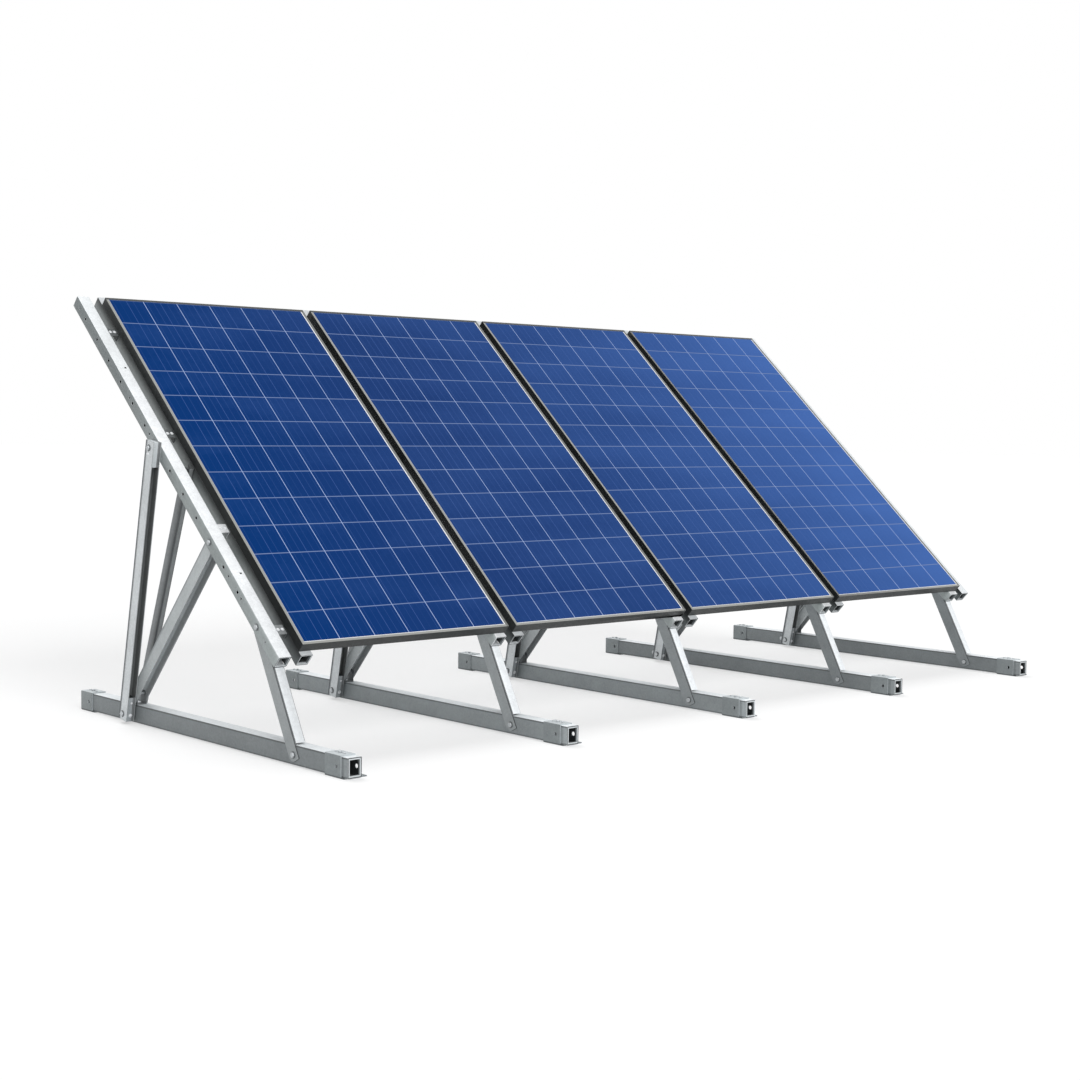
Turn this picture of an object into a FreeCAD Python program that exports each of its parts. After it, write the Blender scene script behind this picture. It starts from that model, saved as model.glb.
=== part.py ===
import FreeCAD, Part
import os
import re
import Sketcher
from FreeCAD import Rotation, Vector

# Solar panel ground mount: five triangular frames of galvanised steel in a row, joined by the
# four framed panels that lie across their sloping rails.
# X runs along the row, -Y is the front where the panels are low, +Z is up, and the ground is Z = 0.
# Lengths are in millimetres and angles in degrees.
# Stations along the rails are measured up the slope from the panels' low edge, and stations along
# the base beams are measured back from the same edge.

frameCount = 5
panelCount = frameCount - 1

doc = FreeCAD.newDocument("SolarGroundMount")

drivingSizes = {
    # panels
    "tilt": 42,
    "panel_width": 992,
    "panel_length": 1956,
    "panel_depth": 40,
    "panel_gap": 40,
    "low_edge_height": 424,
    "frame_wall": 2,
    "frame_lip": 11,
    "frame_lip_wall": 1.6,
    "frame_ledge": 9,
    "frame_flange": 30,
    "laminate_depth": 5,
    "laminate_inset": 3,
    "ledge_gap": 0.2,
    # rails
    "rail_width": 54,
    "rail_depth": 54,
    "rail_wall": 2.5,
    "rail_corner": 2,
    "rail_spacing": 94,
    "rail_top_reach": 50,
    "rail_low_reach": 20,
    "rail_hole": 13,
    "rail_hole_first": 330,
    "rail_hole_pitch": 130,
    "rail_hole_count": 13,
    # base beams
    "beam_width": 60,
    "beam_height": 74,
    "beam_wall": 4,
    "beam_corner": 2.5,
    "lifting_hole_inset": 26,
    "lifting_hole_radius": 8,
    "beam_front": 400,
    "beam_rear": 1500,
    # feet
    "foot_wall": 4,
    "foot_length": 95,
    "foot_toe": 15,
    "foot_side": 38,
    "foot_setback": 36,
    "foot_bend": 3,
    "foot_hole_inset": 28,
    "anchor_radius": 6.5,
    # posts, braces and legs
    "post_width": 36,
    "post_depth": 64,
    "post_foot": 1080,
    "second_width": 26,
    "second_depth": 48,
    "second_foot": 1140,
    "brace_depth": 60,
    "brace_foot": 1055,
    "brace_rise": 42,
    "leg_foot": -75,
    "leg_clearance": 6,
    "strut_wall": 3,
    "strut_tail": 25,
    "post_head": 28,
    "second_head": 17,
    "nested_head": 20,
    "nest_clearance": 0.5,
    "bend": 5,
    # pieces between the main members
    "insert_length": 100,
    "insert_depth": 39,
    "insert_recess": 1,
    "bracket_length": 40,
    "bracket_above": 14,
    "spacer_side": 34,
    "link_length": 45,
    "link_wall": 4,
    "link_depth": 30,
    "link_drop": 5,
    # fixings
    "bolt_radius": 6,
    "bolt_head": 7.5,
    "bolt_head_radius": 10.5,
    "bolt_hole": 13,
    "pin_head": 2.5,
    "small_hole": 9,
    "panel_bolt_inset": 18,
    "panel_bolt_station": 400,
    # junction boxes
    "box_width": 110,
    "box_length": 95,
    "box_depth": 22,
    "box_from_top": 120,
    "box_corner": 6,
    "gland_radius": 7,
    "gland_length": 20,
    "gland_spread": 56,
}

# Sizes that follow from the driving dimensions
workedSizes = {
    "pitch": "panel_width + panel_gap",
    "rail_centre_drop": "panel_depth + rail_depth / 2",
    "rail_top": "panel_length + rail_top_reach",
    "rear_reach": "rail_top * cos(tilt) + (panel_depth + rail_depth) * sin(tilt)",
    "low_edge": "(beam_front - rear_reach) / 2",
    "first_frame": "post_width / 2 - pitch * 2",
    "left_rail_face": "-(rail_spacing + rail_width) / 2",
    "right_rail_face": "(rail_spacing - rail_width) / 2",
    "nested_face": "left_rail_face + rail_wall + nest_clearance",
    "nested_width": "rail_width - 2 * rail_wall - 2 * nest_clearance",
    "beam_face": "nested_face + strut_wall",
    "beam_right_face": "beam_face + beam_width",
    "second_face": "right_rail_face - second_width",
    "beam_top": "foot_wall + beam_height",
    "beam_middle": "foot_wall + beam_height / 2",
    "rail_length": "rail_top + rail_low_reach",
    "beam_length": "beam_front + beam_rear",
    "brace_seat": "rail_hole_first + 2 * rail_hole_pitch",
    "second_seat": "rail_hole_first + 5 * rail_hole_pitch",
    "post_seat": "rail_hole_first + 6 * rail_hole_pitch",
    "leg_seat": "rail_hole_first - 1.35 * rail_hole_pitch",
    "brace_pivot": "beam_top + brace_rise",
    "inner_bend": "bend - strut_wall * (2 - sqrt(2))",
}

names = {alias: "Sizes" for alias in drivingSizes}


def bound(text):
    """Turn sizes written as plain words into references to the sheets."""
    def reference(match):
        word = match.group(0)
        return f"{names[word]}.{word}" if word in names else word
    return re.sub(r"[a-z][a-z_0-9]*", reference, str(text))


def addWorked(alias, text):
    """Add one worked-out size to the second sheet."""
    workedRows.append(alias)
    row = len(workedRows)
    worked.set(f"A{row}", alias)
    worked.set(f"B{row}", "=" + bound(text))
    worked.setAlias(f"B{row}", alias)
    names[alias] = "Worked"


def railPoint(station):
    """Height and distance back of the rails' centre line at a station up the slope."""
    back = f"(({station}) * cos(tilt) + rail_centre_drop * sin(tilt))"
    high = f"(low_edge_height + ({station}) * sin(tilt) - rail_centre_drop * cos(tilt))"
    return back, high


sheet = doc.addObject("Spreadsheet::Sheet", "Sizes")
for row, (alias, value) in enumerate(drivingSizes.items(), start=1):
    sheet.set(f"A{row}", alias)
    sheet.set(f"B{row}", str(value))
    sheet.setAlias(f"B{row}", alias)
doc.recompute()

worked = doc.addObject("Spreadsheet::Sheet", "Worked")
workedRows = []
for alias, text in workedSizes.items():
    addWorked(alias, text)

# Each strut runs from a foot point to a seat point on the rails' centre line.
strutEnds = {
    "post": ("post_foot", "beam_middle", "post_seat"),
    "second": ("second_foot", "beam_middle", "second_seat"),
    "brace": ("brace_foot", "brace_pivot", "brace_seat"),
    "leg": ("leg_foot", "beam_middle", "leg_seat"),
}
for strut, (footBack, footHigh, seat) in strutEnds.items():
    seatBack, seatHigh = railPoint(seat)
    addWorked(f"{strut}_run", f"{seatBack} - {footBack}")
    addWorked(f"{strut}_climb", f"{seatHigh} - {footHigh}")
    addWorked(f"{strut}_span", f"sqrt({strut}_run^2 + {strut}_climb^2)")
    addWorked(f"{strut}_lean", f"atan2({strut}_run; {strut}_climb) / 1 deg")
addWorked("leg_to_rail", "90 - tilt - leg_lean")
doc.recompute()


def value(text):
    """Present value of a size in plain words."""
    return float(sheet.evalExpression(bound(text)))


def originPlane(body, role):
    """One of the body's own three origin planes."""
    for feature in body.Origin.OriginFeatures:
        if feature.Role == role:
            return feature
    raise LookupError(role)


def newSketch(body, name, role, offset="0"):
    """Empty sketch on an origin plane of the body, moved along the plane's normal by offset."""
    sketch = body.newObject("Sketcher::SketchObject", name)
    sketch.AttachmentSupport = [(originPlane(body, role), "")]
    sketch.MapMode = "FlatFace"
    sketch.setExpression("AttachmentOffset.Base.z", bound(offset))
    return sketch


def drawLoop(sketch, corners):
    """Closed loop of straight lines with every corner placed by its two sizes."""
    spots = [Vector(value(across), value(along), 0) for across, along in corners]
    first = sketch.GeometryCount
    count = len(spots)
    for index in range(count):
        line = Part.LineSegment(spots[index], spots[(index + 1) % count])
        sketch.addGeometry(line, False)
    for index in range(count):
        after = first + (index + 1) % count
        sketch.addConstraint(Sketcher.Constraint("Coincident", first + index, 2, after, 1))
    for index, (across, along) in enumerate(corners):
        spot = spots[index]
        for kind, size, place in (("DistanceX", across, spot.x), ("DistanceY", along, spot.y)):
            number = sketch.addConstraint(Sketcher.Constraint(kind, -1, 1, first + index, 1, place))
            sketch.setExpression(f"Constraints[{number}]", bound(size))


def drawRectangle(sketch, left, right, low, high):
    """Rectangle between two sizes each way."""
    drawLoop(sketch, [(left, low), (right, low), (right, high), (left, high)])


def drawSquare(sketch, across, along, side):
    """Square round a centre."""
    drawRectangle(sketch, f"{across} - {side} / 2", f"{across} + {side} / 2",
                  f"{along} - {side} / 2", f"{along} + {side} / 2")


def drawCircle(sketch, across, along, radius):
    """Circle round a centre."""
    centre = Vector(value(across), value(along), 0)
    number = sketch.addGeometry(Part.Circle(centre, Vector(0, 0, 1), value(radius)), False)
    for kind, size, place in (("DistanceX", across, centre.x), ("DistanceY", along, centre.y)):
        fixed = sketch.addConstraint(Sketcher.Constraint(kind, -1, 1, number, 3, place))
        sketch.setExpression(f"Constraints[{fixed}]", bound(size))
    round_ = sketch.addConstraint(Sketcher.Constraint("Radius", number, value(radius)))
    sketch.setExpression(f"Constraints[{round_}]", bound(radius))


def drawPolygon(sketch, across, along, radius, sides=6):
    """Polygon of equal sides round a centre."""
    corners = []
    for corner in range(sides):
        turn = 360 * corner / sides
        corners.append((f"{across} + {radius} * cos({turn})", f"{along} + {radius} * sin({turn})"))
    drawLoop(sketch, corners)


def addPad(body, name, sketch, length, backward=False):
    """Pad a sketch along its normal, or against it."""
    pad = body.newObject("PartDesign::Pad", name)
    pad.Profile = sketch
    pad.Reversed = backward
    pad.setExpression("Length", bound(length))
    sketch.Visibility = False
    return pad


def addCut(body, name, sketch, depth=None, backward=False):
    """Pocket against the sketch's normal, or along it; without a depth it cuts right through."""
    before = body.Shape.Volume
    pocket = body.newObject("PartDesign::Pocket", name)
    pocket.Profile = sketch
    pocket.Reversed = backward
    if depth is None:
        pocket.Type = "ThroughAll"
    else:
        pocket.setExpression("Length", bound(depth))
    sketch.Visibility = False
    doc.recompute()
    if not body.Shape.Volume < before - 1:
        raise ValueError(f"{body.Label}: {name} removes nothing")
    return pocket


def pickedEdges(body, chosen):
    """The body's latest feature with the names of its edges that the test picks."""
    edges = enumerate(body.Tip.Shape.Edges, start=1)
    return (body.Tip, [f"Edge{index}" for index, edge in edges if chosen(edge)])


def roundEdges(body, name, radius, chosen):
    """Fillet the edges of the body's latest shape that the test picks."""
    edges = pickedEdges(body, chosen)
    fillet = body.newObject("PartDesign::Fillet", name)
    fillet.Base = edges
    fillet.setExpression("Radius", bound(radius))
    doc.recompute()
    return fillet


def bevelEdges(body, name, size, chosen):
    """Chamfer the edges of the body's latest shape that the test picks."""
    edges = pickedEdges(body, chosen)
    chamfer = body.newObject("PartDesign::Chamfer", name)
    chamfer.Base = edges
    chamfer.setExpression("Size", bound(size))
    doc.recompute()
    return chamfer


def longEdgeAt(corners):
    """Test for the edges that run along local Z over one of the given corners of the section."""
    spots = [(value(across), value(along)) for across, along in corners]

    def test(edge):
        start, end = edge.Vertexes[0].Point, edge.Vertexes[-1].Point
        upright = abs(start.x - end.x) < 0.01 and abs(start.y - end.y) < 0.01
        near = any(abs(start.x - x) < 0.01 and abs(start.y - y) < 0.01 for x, y in spots)
        return upright and near and len(edge.Vertexes) == 2

    return test


def newMember(label, section, length, face, back, high, lean, along="0"):
    """Body padded along its own Z from a section in X and Y, then leaned and put in its frame.

    The section's X is the row's X measured from the member's left face. The body starts at the
    point (back, high), moved by a distance along the member, and leans back by the given angle.
    """
    body = doc.addObject("PartDesign::Body", label)
    sketch = newSketch(body, label + "_section", "XY_Plane")
    for loop in section:
        drawLoop(sketch, loop)
    addPad(body, label + "_pad", sketch, length)
    body.Placement.Rotation = Rotation(Vector(1, 0, 0), -10)
    body.setExpression("Placement.Rotation.Angle", bound(f"-({lean})"))
    body.setExpression("Placement.Base.x", bound(face))
    body.setExpression("Placement.Base.y", bound(f"low_edge + {back} + ({along}) * sin({lean})"))
    body.setExpression("Placement.Base.z", bound(f"{high} + ({along}) * cos({lean})"))
    doc.recompute()
    return body


def rectangle(width, depth, inset="0"):
    """Corners of a rectangle from X = 0, centred on Y = 0, drawn in by an inset."""
    left, right = inset, f"({width}) - {inset}"
    low, high = f"-(({depth}) / 2 - {inset})", f"({depth}) / 2 - {inset}"
    return [(left, low), (right, low), (right, high), (left, high)]


def channel(width, depth, wall, opens, middle="0"):
    """Corners of a channel from X = 0 with its back on one side of Y and its mouth on the other."""
    mouth = f"{middle} + {opens} * ({depth}) / 2"
    back = f"{middle} - {opens} * ({depth}) / 2"
    inner = f"{back} + {opens} * {wall}"
    right = f"({width})"
    return [("0", mouth), ("0", back), (right, back), (right, mouth),
            (f"{right} - {wall}", mouth), (f"{right} - {wall}", inner), (wall, inner), (wall, mouth)]


def bendBack(body, width, depth, opens):
    """Bevel the bends on either side of a strut's back, inside and out."""
    back = f"-{opens} * ({depth}) / 2"
    inner = f"{back} + {opens} * strut_wall"
    outside = [("0", back), (width, back)]
    inside = [("strut_wall", inner), (f"{width} - strut_wall", inner)]
    bevelEdges(body, body.Label + "_bends", "bend", longEdgeAt(outside))
    bevelEdges(body, body.Label + "_inner_bends", "inner_bend", longEdgeAt(inside))


def punch(body, name, places, side, depth=None, start="0"):
    """Square holes through the walls that face along the row, from the left face inwards."""
    sketch = newSketch(body, name + "_outline", "YZ_Plane", start)
    for across, along in places:
        drawSquare(sketch, across, along, side)
    return addCut(body, name, sketch, depth, backward=True)


def cutPanelHoles(body, across):
    """The two holes in a rail's top for the panel's bolts."""
    outline = newSketch(body, body.Label + "_panel_holes_outline", "XZ_Plane")
    for station in ("panel_bolt_station", "panel_length - panel_bolt_station"):
        drawSquare(outline, across, f"rail_low_reach + {station}", "small_hole")
    addCut(body, body.Label + "_panel_holes", outline, "rail_depth / 2", backward=True)


def makeRail(label, face):
    """Square tube along the slope."""
    back, high = railPoint("-rail_low_reach")
    outside = rectangle("rail_width", "rail_depth")
    section = [outside, rectangle("rail_width", "rail_depth", "rail_wall")]
    body = newMember(label, section, "rail_length", face, back, high, "(90 - tilt)")
    bevelEdges(body, label + "_corners", "rail_corner", longEdgeAt(outside))
    return body


def makeLeftRail():
    """Rail with a row of holes, its underside cut open where the leg and the brace enter it."""
    body = makeRail("left_rail", "left_rail_face")

    first = [("0", "rail_low_reach + rail_hole_first")]
    hole = punch(body, "left_rail_first_hole", first, "rail_hole", "rail_wall * 2")
    pattern = body.newObject("PartDesign::LinearPattern", "left_rail_hole_row")
    pattern.Originals = [hole]
    pattern.Direction = (originPlane(body, "Z_Axis"), [""])
    pattern.Mode = "Spacing"
    pattern.setExpression("Offset", bound("rail_hole_pitch"))
    pattern.setExpression("Occurrences", bound("rail_hole_count"))
    body.Tip = pattern
    doc.recompute()
    cutPanelHoles(body, "rail_width - panel_bolt_inset + 1")

    seats = [("0", "rail_low_reach + leg_seat"), ("0", "rail_low_reach + brace_seat")]
    punch(body, "left_rail_cross_holes", seats, "bolt_hole")
    mouth = newSketch(body, "left_rail_under_cuts_outline", "XZ_Plane")
    inside = ("rail_wall", "rail_width - rail_wall")
    legBack = "rail_low_reach + leg_seat - rail_depth / 2 / tan(leg_to_rail)"
    drawRectangle(mouth, *inside, f"{legBack} - brace_depth / 2 / sin(leg_to_rail) - 2",
                  "rail_low_reach + leg_seat + brace_depth / 2")
    entry = "rail_low_reach + brace_seat"
    reach = "(brace_depth / 2 + 4)"
    drawRectangle(mouth, *inside, f"{entry} - {reach}", f"{entry} + {reach}")
    addCut(body, "left_rail_under_cuts", mouth)
    return body


def makeRightRail():
    """Rail with the bolt hole of the second post."""
    body = makeRail("right_rail", "right_rail_face")
    punch(body, "right_rail_seat_hole", [("0", "rail_low_reach + second_seat")], "bolt_hole")
    cutPanelHoles(body, "panel_bolt_inset - 1")
    return body


def makeBeam():
    """Square-cornered tube from front to back, with the holes for feet, posts and leg."""
    section = [rectangle("beam_width", "beam_height"), rectangle("beam_width", "beam_height", "beam_wall")]
    body = newMember("beam", section, "beam_length", "beam_face", "-beam_front", "beam_middle", "90")
    corners = rectangle("beam_width", "beam_height")
    bevelEdges(body, "beam_corners", "beam_corner", longEdgeAt(corners))
    struts = [("0", f"beam_front + {foot}") for foot in ("leg_foot", "post_foot", "second_foot")]
    punch(body, "beam_strut_holes", struts, "bolt_hole")
    starts = ("foot_setback", "beam_length - foot_length")
    ends = [("0", f"{start} + foot_hole_inset") for start in starts]
    punch(body, "beam_end_holes", ends, "bolt_hole", "beam_wall * 2")
    lifting = newSketch(body, "beam_lifting_hole_outline", "YZ_Plane", "beam_width / 2")
    drawPolygon(lifting, "0", "lifting_hole_inset", "lifting_hole_radius", 12)
    addCut(body, "beam_lifting_hole", lifting, backward=True)
    return body


def makeFoot():
    """Sheet folded into a plate under the beam, a wall beside it and a flap over it."""
    over = "foot_wall + beam_height"
    wide = "foot_wall + beam_width"
    section = [("0", "0"), (f"{wide} + foot_side", "0"), (f"{wide} + foot_side", "-foot_wall"),
               ("foot_wall", "-foot_wall"), ("foot_wall", f"-({over})"), (wide, f"-({over})"),
               (wide, f"-({over}) - foot_wall"), ("0", f"-({over}) - foot_wall")]
    body = newMember("foot", [section], "foot_length", "beam_face - foot_wall",
                     "foot_setback - beam_front", "0", "90")
    bevelEdges(body, "foot_bends", "foot_bend", longEdgeAt([("0", "0"), ("0", f"-({over}) - foot_wall")]))
    toe = newSketch(body, "foot_toe_outline", "XY_Plane")
    drawRectangle(toe, "foot_bend", f"{wide} + foot_side", "-foot_wall", "0")
    addPad(body, "foot_toe", toe, "foot_toe", backward=True)
    doc.recompute()
    side = [("-foot_wall - beam_height / 2", "foot_hole_inset")]
    punch(body, "foot_side_hole", side, "bolt_hole", "foot_wall")
    anchor = newSketch(body, "foot_anchor_hole_outline", "XZ_Plane")
    drawCircle(anchor, f"{wide} + foot_side / 2", "foot_length / 2", "anchor_radius")
    addCut(body, "foot_anchor_hole", anchor, backward=True)
    return body


def strutMember(label, strut, section, face):
    """Channel on the line from a strut's foot to its seat, past both bolts."""
    footBack, footHigh, _ = strutEnds[strut]
    head = "nested_head" if strut in ("brace", "leg") else f"{strut}_head"
    length = f"strut_tail + {strut}_span + {head}"
    return newMember(label, [section], length, face, footBack, footHigh, f"{strut}_lean", "-strut_tail")


def boltStations(strut):
    """The strut's two bolts, measured from its lower end."""
    return [("0", "strut_tail"), ("0", f"strut_tail + {strut}_span")]


def makePost():
    """Rear post: plain channel with its mouth to the front."""
    section = channel("post_width", "post_depth", "strut_wall", "-1")
    body = strutMember("post", "post", section, "left_rail_face - post_width")
    bendBack(body, "post_width", "post_depth", "-1")
    punch(body, "post_holes", boltStations("post"), "bolt_hole")
    return body


def makeInsert(label, along, boltAlong):
    """Folded piece inside the post that closes its mouth round a bolt."""
    width = "post_width - 2 * strut_wall"
    middle = "(insert_depth - post_depth) / 2 + insert_recess"
    section = channel(width, "insert_depth", "strut_wall", "1", middle=middle)
    body = newMember(label, [section], "insert_length", "left_rail_face - post_width + strut_wall",
                     "post_foot", "beam_middle", "post_lean", along)
    punch(body, label + "_holes", [("0", boltAlong)], "bolt_hole")
    return body


def closeInsert(body):
    """Lid on an insert that covers the end of the post."""
    lid = newSketch(body, body.Label + "_lid_outline", "XY_Plane", "insert_length - strut_wall")
    drawRectangle(lid, "0", "post_width - 2 * strut_wall", "insert_recess - post_depth / 2",
                  "post_depth / 2 - strut_wall - inner_bend")
    addPad(body, body.Label + "_lid", lid, "strut_wall")
    doc.recompute()


def makeSecondPost():
    """Second post: plain channel with its back to the front."""
    section = channel("second_width", "second_depth", "strut_wall", "1")
    body = strutMember("second", "second", section, "second_face")
    bendBack(body, "second_width", "second_depth", "1")
    punch(body, "second_holes", boltStations("second"), "bolt_hole")
    return body


def makeBrace():
    """Rear brace: plain channel with its mouth to the front, nested in the left rail at its head."""
    section = channel("nested_width", "brace_depth", "strut_wall", "-1")
    body = strutMember("brace", "brace", section, "nested_face")
    bendBack(body, "nested_width", "brace_depth", "-1")
    punch(body, "brace_holes", boltStations("brace"), "bolt_hole")
    return body


def makeLeg():
    """Front leg: channel with its back to the front, nested in the left rail at its head.

    Its back and right flange stop above the beam; the left flange runs on as a rounded tongue.
    """
    section = channel("nested_width", "brace_depth", "strut_wall", "1")
    body = strutMember("leg", "leg", section, "nested_face")
    bendBack(body, "nested_width", "brace_depth", "1")

    # Level cut above the beam, seen square to the leg's side
    level = "(beam_top - beam_middle + leg_clearance)"
    half = "(brace_depth / 2 + 2)"
    above = f"(strut_tail + {level} / cos(leg_lean))"
    cut = newSketch(body, "leg_level_cut_outline", "YZ_Plane", "strut_wall")
    drawLoop(cut, [(f"-{half}", "-2"), (half, "-2"), (half, f"{above} + {half} * tan(leg_lean)"),
                   (f"-{half}", f"{above} - {half} * tan(leg_lean)")])
    addCut(body, "leg_level_cut", cut, backward=True)

    # Head cut level with the inside of the rail's top
    reach = "(rail_depth / 2 - rail_wall - 1)"
    top = f"(strut_tail + leg_span + {reach} / sin(leg_to_rail))"
    peak = "strut_tail + leg_span + nested_head + 2"
    head = newSketch(body, "leg_head_cut_outline", "YZ_Plane")
    meets = f"(({top}) - ({peak})) * tan(leg_to_rail)"
    drawLoop(head, [(f"-{half}", f"{top} - {half} / tan(leg_to_rail)"),
                    (f"-({meets})", peak), (f"-{half}", peak)])
    addCut(body, "leg_head_cut", head, backward=True)

    def tongueCorner(edge):
        ends = [vertex.Point for vertex in edge.Vertexes]
        inTongue = all(end.z < 0.01 and end.x < value("strut_wall") + 0.01 for end in ends)
        return len(ends) == 2 and inTongue and abs(ends[0].y - ends[1].y) < 0.01

    roundEdges(body, "leg_tongue", "brace_depth / 2 - 2", tongueCorner)
    punch(body, "leg_holes", boltStations("leg"), "bolt_hole")
    return body


def makeBracket():
    """Folded base with two ears inside the brace's foot."""
    width = "nested_width - 2 * strut_wall"
    tall = "(brace_rise + bracket_above)"
    section = channel(width, tall, "strut_wall", "-1", middle=f"-{tall} / 2")
    body = newMember("bracket", [section], "bracket_length", "beam_face",
                     "brace_foot - bracket_length / 2", "beam_top", "90")

    def earCorner(edge):
        ends = [vertex.Point for vertex in edge.Vertexes]
        atTop = all(abs(end.y + value(tall)) < 0.01 for end in ends)
        return len(ends) == 2 and atTop and abs(ends[0].z - ends[1].z) < 0.01

    bevelEdges(body, "bracket_ears", "bracket_above - 2", earCorner)
    punch(body, "bracket_pivot_holes", [("-brace_rise", "bracket_length / 2")], "bolt_hole")
    return body


def makeLink():
    """Folded piece between the two rails of a frame."""
    width = "rail_spacing - rail_width"
    middle = "(link_depth - rail_depth) / 2 + link_drop"
    section = channel(width, "link_depth", "link_wall", "1", middle=middle)
    back, high = railPoint("-link_length / 2")
    face = "left_rail_face + rail_width"
    return newMember("link", [section], "link_length", face, back, high, "(90 - tilt)")


def makeSpacer(label, face, back, thickness):
    """Square plate between the beam's side and a strut."""
    body = doc.addObject("PartDesign::Body", label)
    sketch = newSketch(body, label + "_outline", "YZ_Plane")
    drawSquare(sketch, "0", "0", "spacer_side")
    drawSquare(sketch, "0", "0", "bolt_hole")
    addPad(body, label + "_pad", sketch, thickness)
    body.setExpression("Placement.Base.x", bound(face))
    body.setExpression("Placement.Base.y", bound(f"low_edge + {back}"))
    body.setExpression("Placement.Base.z", bound("beam_middle"))
    doc.recompute()
    return body


def solidOf(kind, label, sizes, offset="0"):
    """Part primitive on the Z axis with its sizes bound, raised by an offset."""
    solid = doc.addObject(kind, label)
    for size, text in sizes.items():
        solid.setExpression(size, bound(text))
    solid.setExpression("Placement.Base.z", bound(offset))
    return solid


def makeBolt(label, grip, headDepth):
    """Bolt on the Z axis with its nut on: head below Z = 0, shank through the grip, nut above."""
    hexagon = {"Circumradius": "bolt_head_radius", "Height": headDepth}
    head = solidOf("Part::Prism", label + "_head", hexagon, f"-{headDepth}")
    shank = solidOf("Part::Prism", label + "_shank",
                    {"Circumradius": "bolt_radius", "Height": f"{grip} + 2"}, "-1")
    nut = solidOf("Part::Prism", label + "_nut", hexagon, grip)
    bolt = doc.addObject("Part::MultiFuse", label)
    bolt.Shapes = [head, shank, nut]
    return bolt


def gather(label, links, across="0", back="0", high="0"):
    """Compound that holds its pieces together and shifts them as one."""
    group = doc.addObject("Part::Compound", label)
    group.Links = links
    for axis, size in (("x", across), ("y", back), ("z", high)):
        group.setExpression(f"Placement.Base.{axis}", bound(size))
    return group


def crossBolt(label, master, face, back, high):
    """A bolt turned so that its head is on the left and its shank runs along the row."""
    bolt = gather(label, [master], face, f"low_edge + {back}", high)
    bolt.Placement.Rotation = Rotation(Vector(0, 1, 0), 90)
    return bolt


def frameCentre(index):
    """Middle of a frame along the row."""
    return f"first_frame + {index} * pitch"


# The members of one frame, drawn round the frame's own middle
leftRail = makeLeftRail()
rightRail = makeRightRail()
beam = makeBeam()
foot = makeFoot()
post = makePost()
footInsert = makeInsert("foot_insert", "-strut_tail", "strut_tail")
headInsert = makeInsert("head_insert", "post_span + post_head - insert_length", "insert_length - post_head")
closeInsert(headInsert)
second = makeSecondPost()
brace = makeBrace()
leg = makeLeg()
bracket = makeBracket()
link = makeLink()
postSpacer = makeSpacer("post_spacer", "left_rail_face", "post_foot", "beam_face - left_rail_face")
secondSpacer = makeSpacer("second_spacer", "beam_right_face", "second_foot",
                          "second_face - beam_right_face")

rearFoot = gather("rear_foot_place", [foot], back="beam_length - foot_length - foot_setback")
linkStations = ["leg_seat - 38", "brace_seat + 50", "post_seat + 60", "panel_length - 170"]
links = []
for index, station in enumerate(linkStations, start=1):
    back, high = f"({station}) * cos(tilt)", f"({station}) * sin(tilt)"
    links.append(gather(f"link_place_{index}", [link], "0", back, high))

# The bolts of one frame: their grips run from the face under the head to the face under the nut
lowerBolts = [
    ("post_foot", "left_rail_face - post_width", "beam_right_face", "post_foot", "beam_middle"),
    ("second_foot", "beam_face", "second_face + second_width", "second_foot", "beam_middle"),
    ("leg_foot", "nested_face", "beam_right_face", "leg_foot", "beam_middle"),
    ("brace_foot", "nested_face", "nested_face + nested_width", "brace_foot", "brace_pivot"),
]
upperBolts = [
    ("post_seat", "left_rail_face - post_width", "left_rail_face + rail_wall", *railPoint("post_seat")),
    ("second_seat", "second_face", "right_rail_face + rail_width", *railPoint("second_seat")),
    ("brace_seat", "left_rail_face", "left_rail_face + rail_width", *railPoint("brace_seat")),
    ("leg_seat", "left_rail_face", "left_rail_face + rail_width", *railPoint("leg_seat")),
]


def placedBolts(rows):
    """One bolt for each row of ends and place."""
    bolts = []
    for name, start, end, back, high in rows:
        # The rear post leaves room for only a thin head beside the brace's foot
        headDepth = "pin_head" if name == "brace_foot" else "bolt_head"
        master = makeBolt(f"{name}_bolt", f"({end} - ({start}))", headDepth)
        bolts.append(crossBolt(f"{name}_bolt_place", master, start, back, high))
    return bolts


lowerSet = placedBolts(lowerBolts)
upperSet = placedBolts(upperBolts)

# One panel, drawn flat with its low outer corner at the origin, Y up the slope and Z out of the glass
def makeFrameBar(label, length):
    """Frame extrusion along Y with its outer wall at X = 0 and both ends mitred."""
    body = doc.addObject("PartDesign::Body", label)
    sketch = newSketch(body, label + "_section", "XZ_Plane")
    wall, lip = "frame_wall", "frame_lip_wall"
    shelf = "(frame_lip_wall + laminate_depth + ledge_gap)"
    drawLoop(sketch, [
        ("0", "0"), ("frame_lip", "0"), ("frame_lip", f"-{lip}"), (wall, f"-{lip}"),
        (wall, f"-{shelf}"), ("frame_ledge", f"-{shelf}"), ("frame_ledge", f"-{shelf} - {lip}"),
        (wall, f"-{shelf} - {lip}"), (wall, "-panel_depth + frame_wall"),
        ("frame_flange", "-panel_depth + frame_wall"), ("frame_flange", "-panel_depth"),
        ("0", "-panel_depth")])
    addPad(body, label + "_pad", sketch, length, backward=True)
    doc.recompute()
    mitre = newSketch(body, label + "_mitre_outline", "XY_Plane")
    far = "(frame_flange + 2)"
    drawLoop(mitre, [("0", "0"), ("0", "-2"), (far, "-2"), (far, far)])
    past = f"{length} + 2"
    drawLoop(mitre, [("0", length), (far, f"{length} - {far}"), (far, past), ("0", past)])
    addCut(body, label + "_mitre", mitre)
    return body


def turnedBar(label, bar, across, back, turn):
    """A frame bar turned in the panel's plane."""
    placed = gather(label, [bar], across, back)
    placed.Placement.Rotation = Rotation(Vector(0, 0, 1), turn)
    return placed


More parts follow.
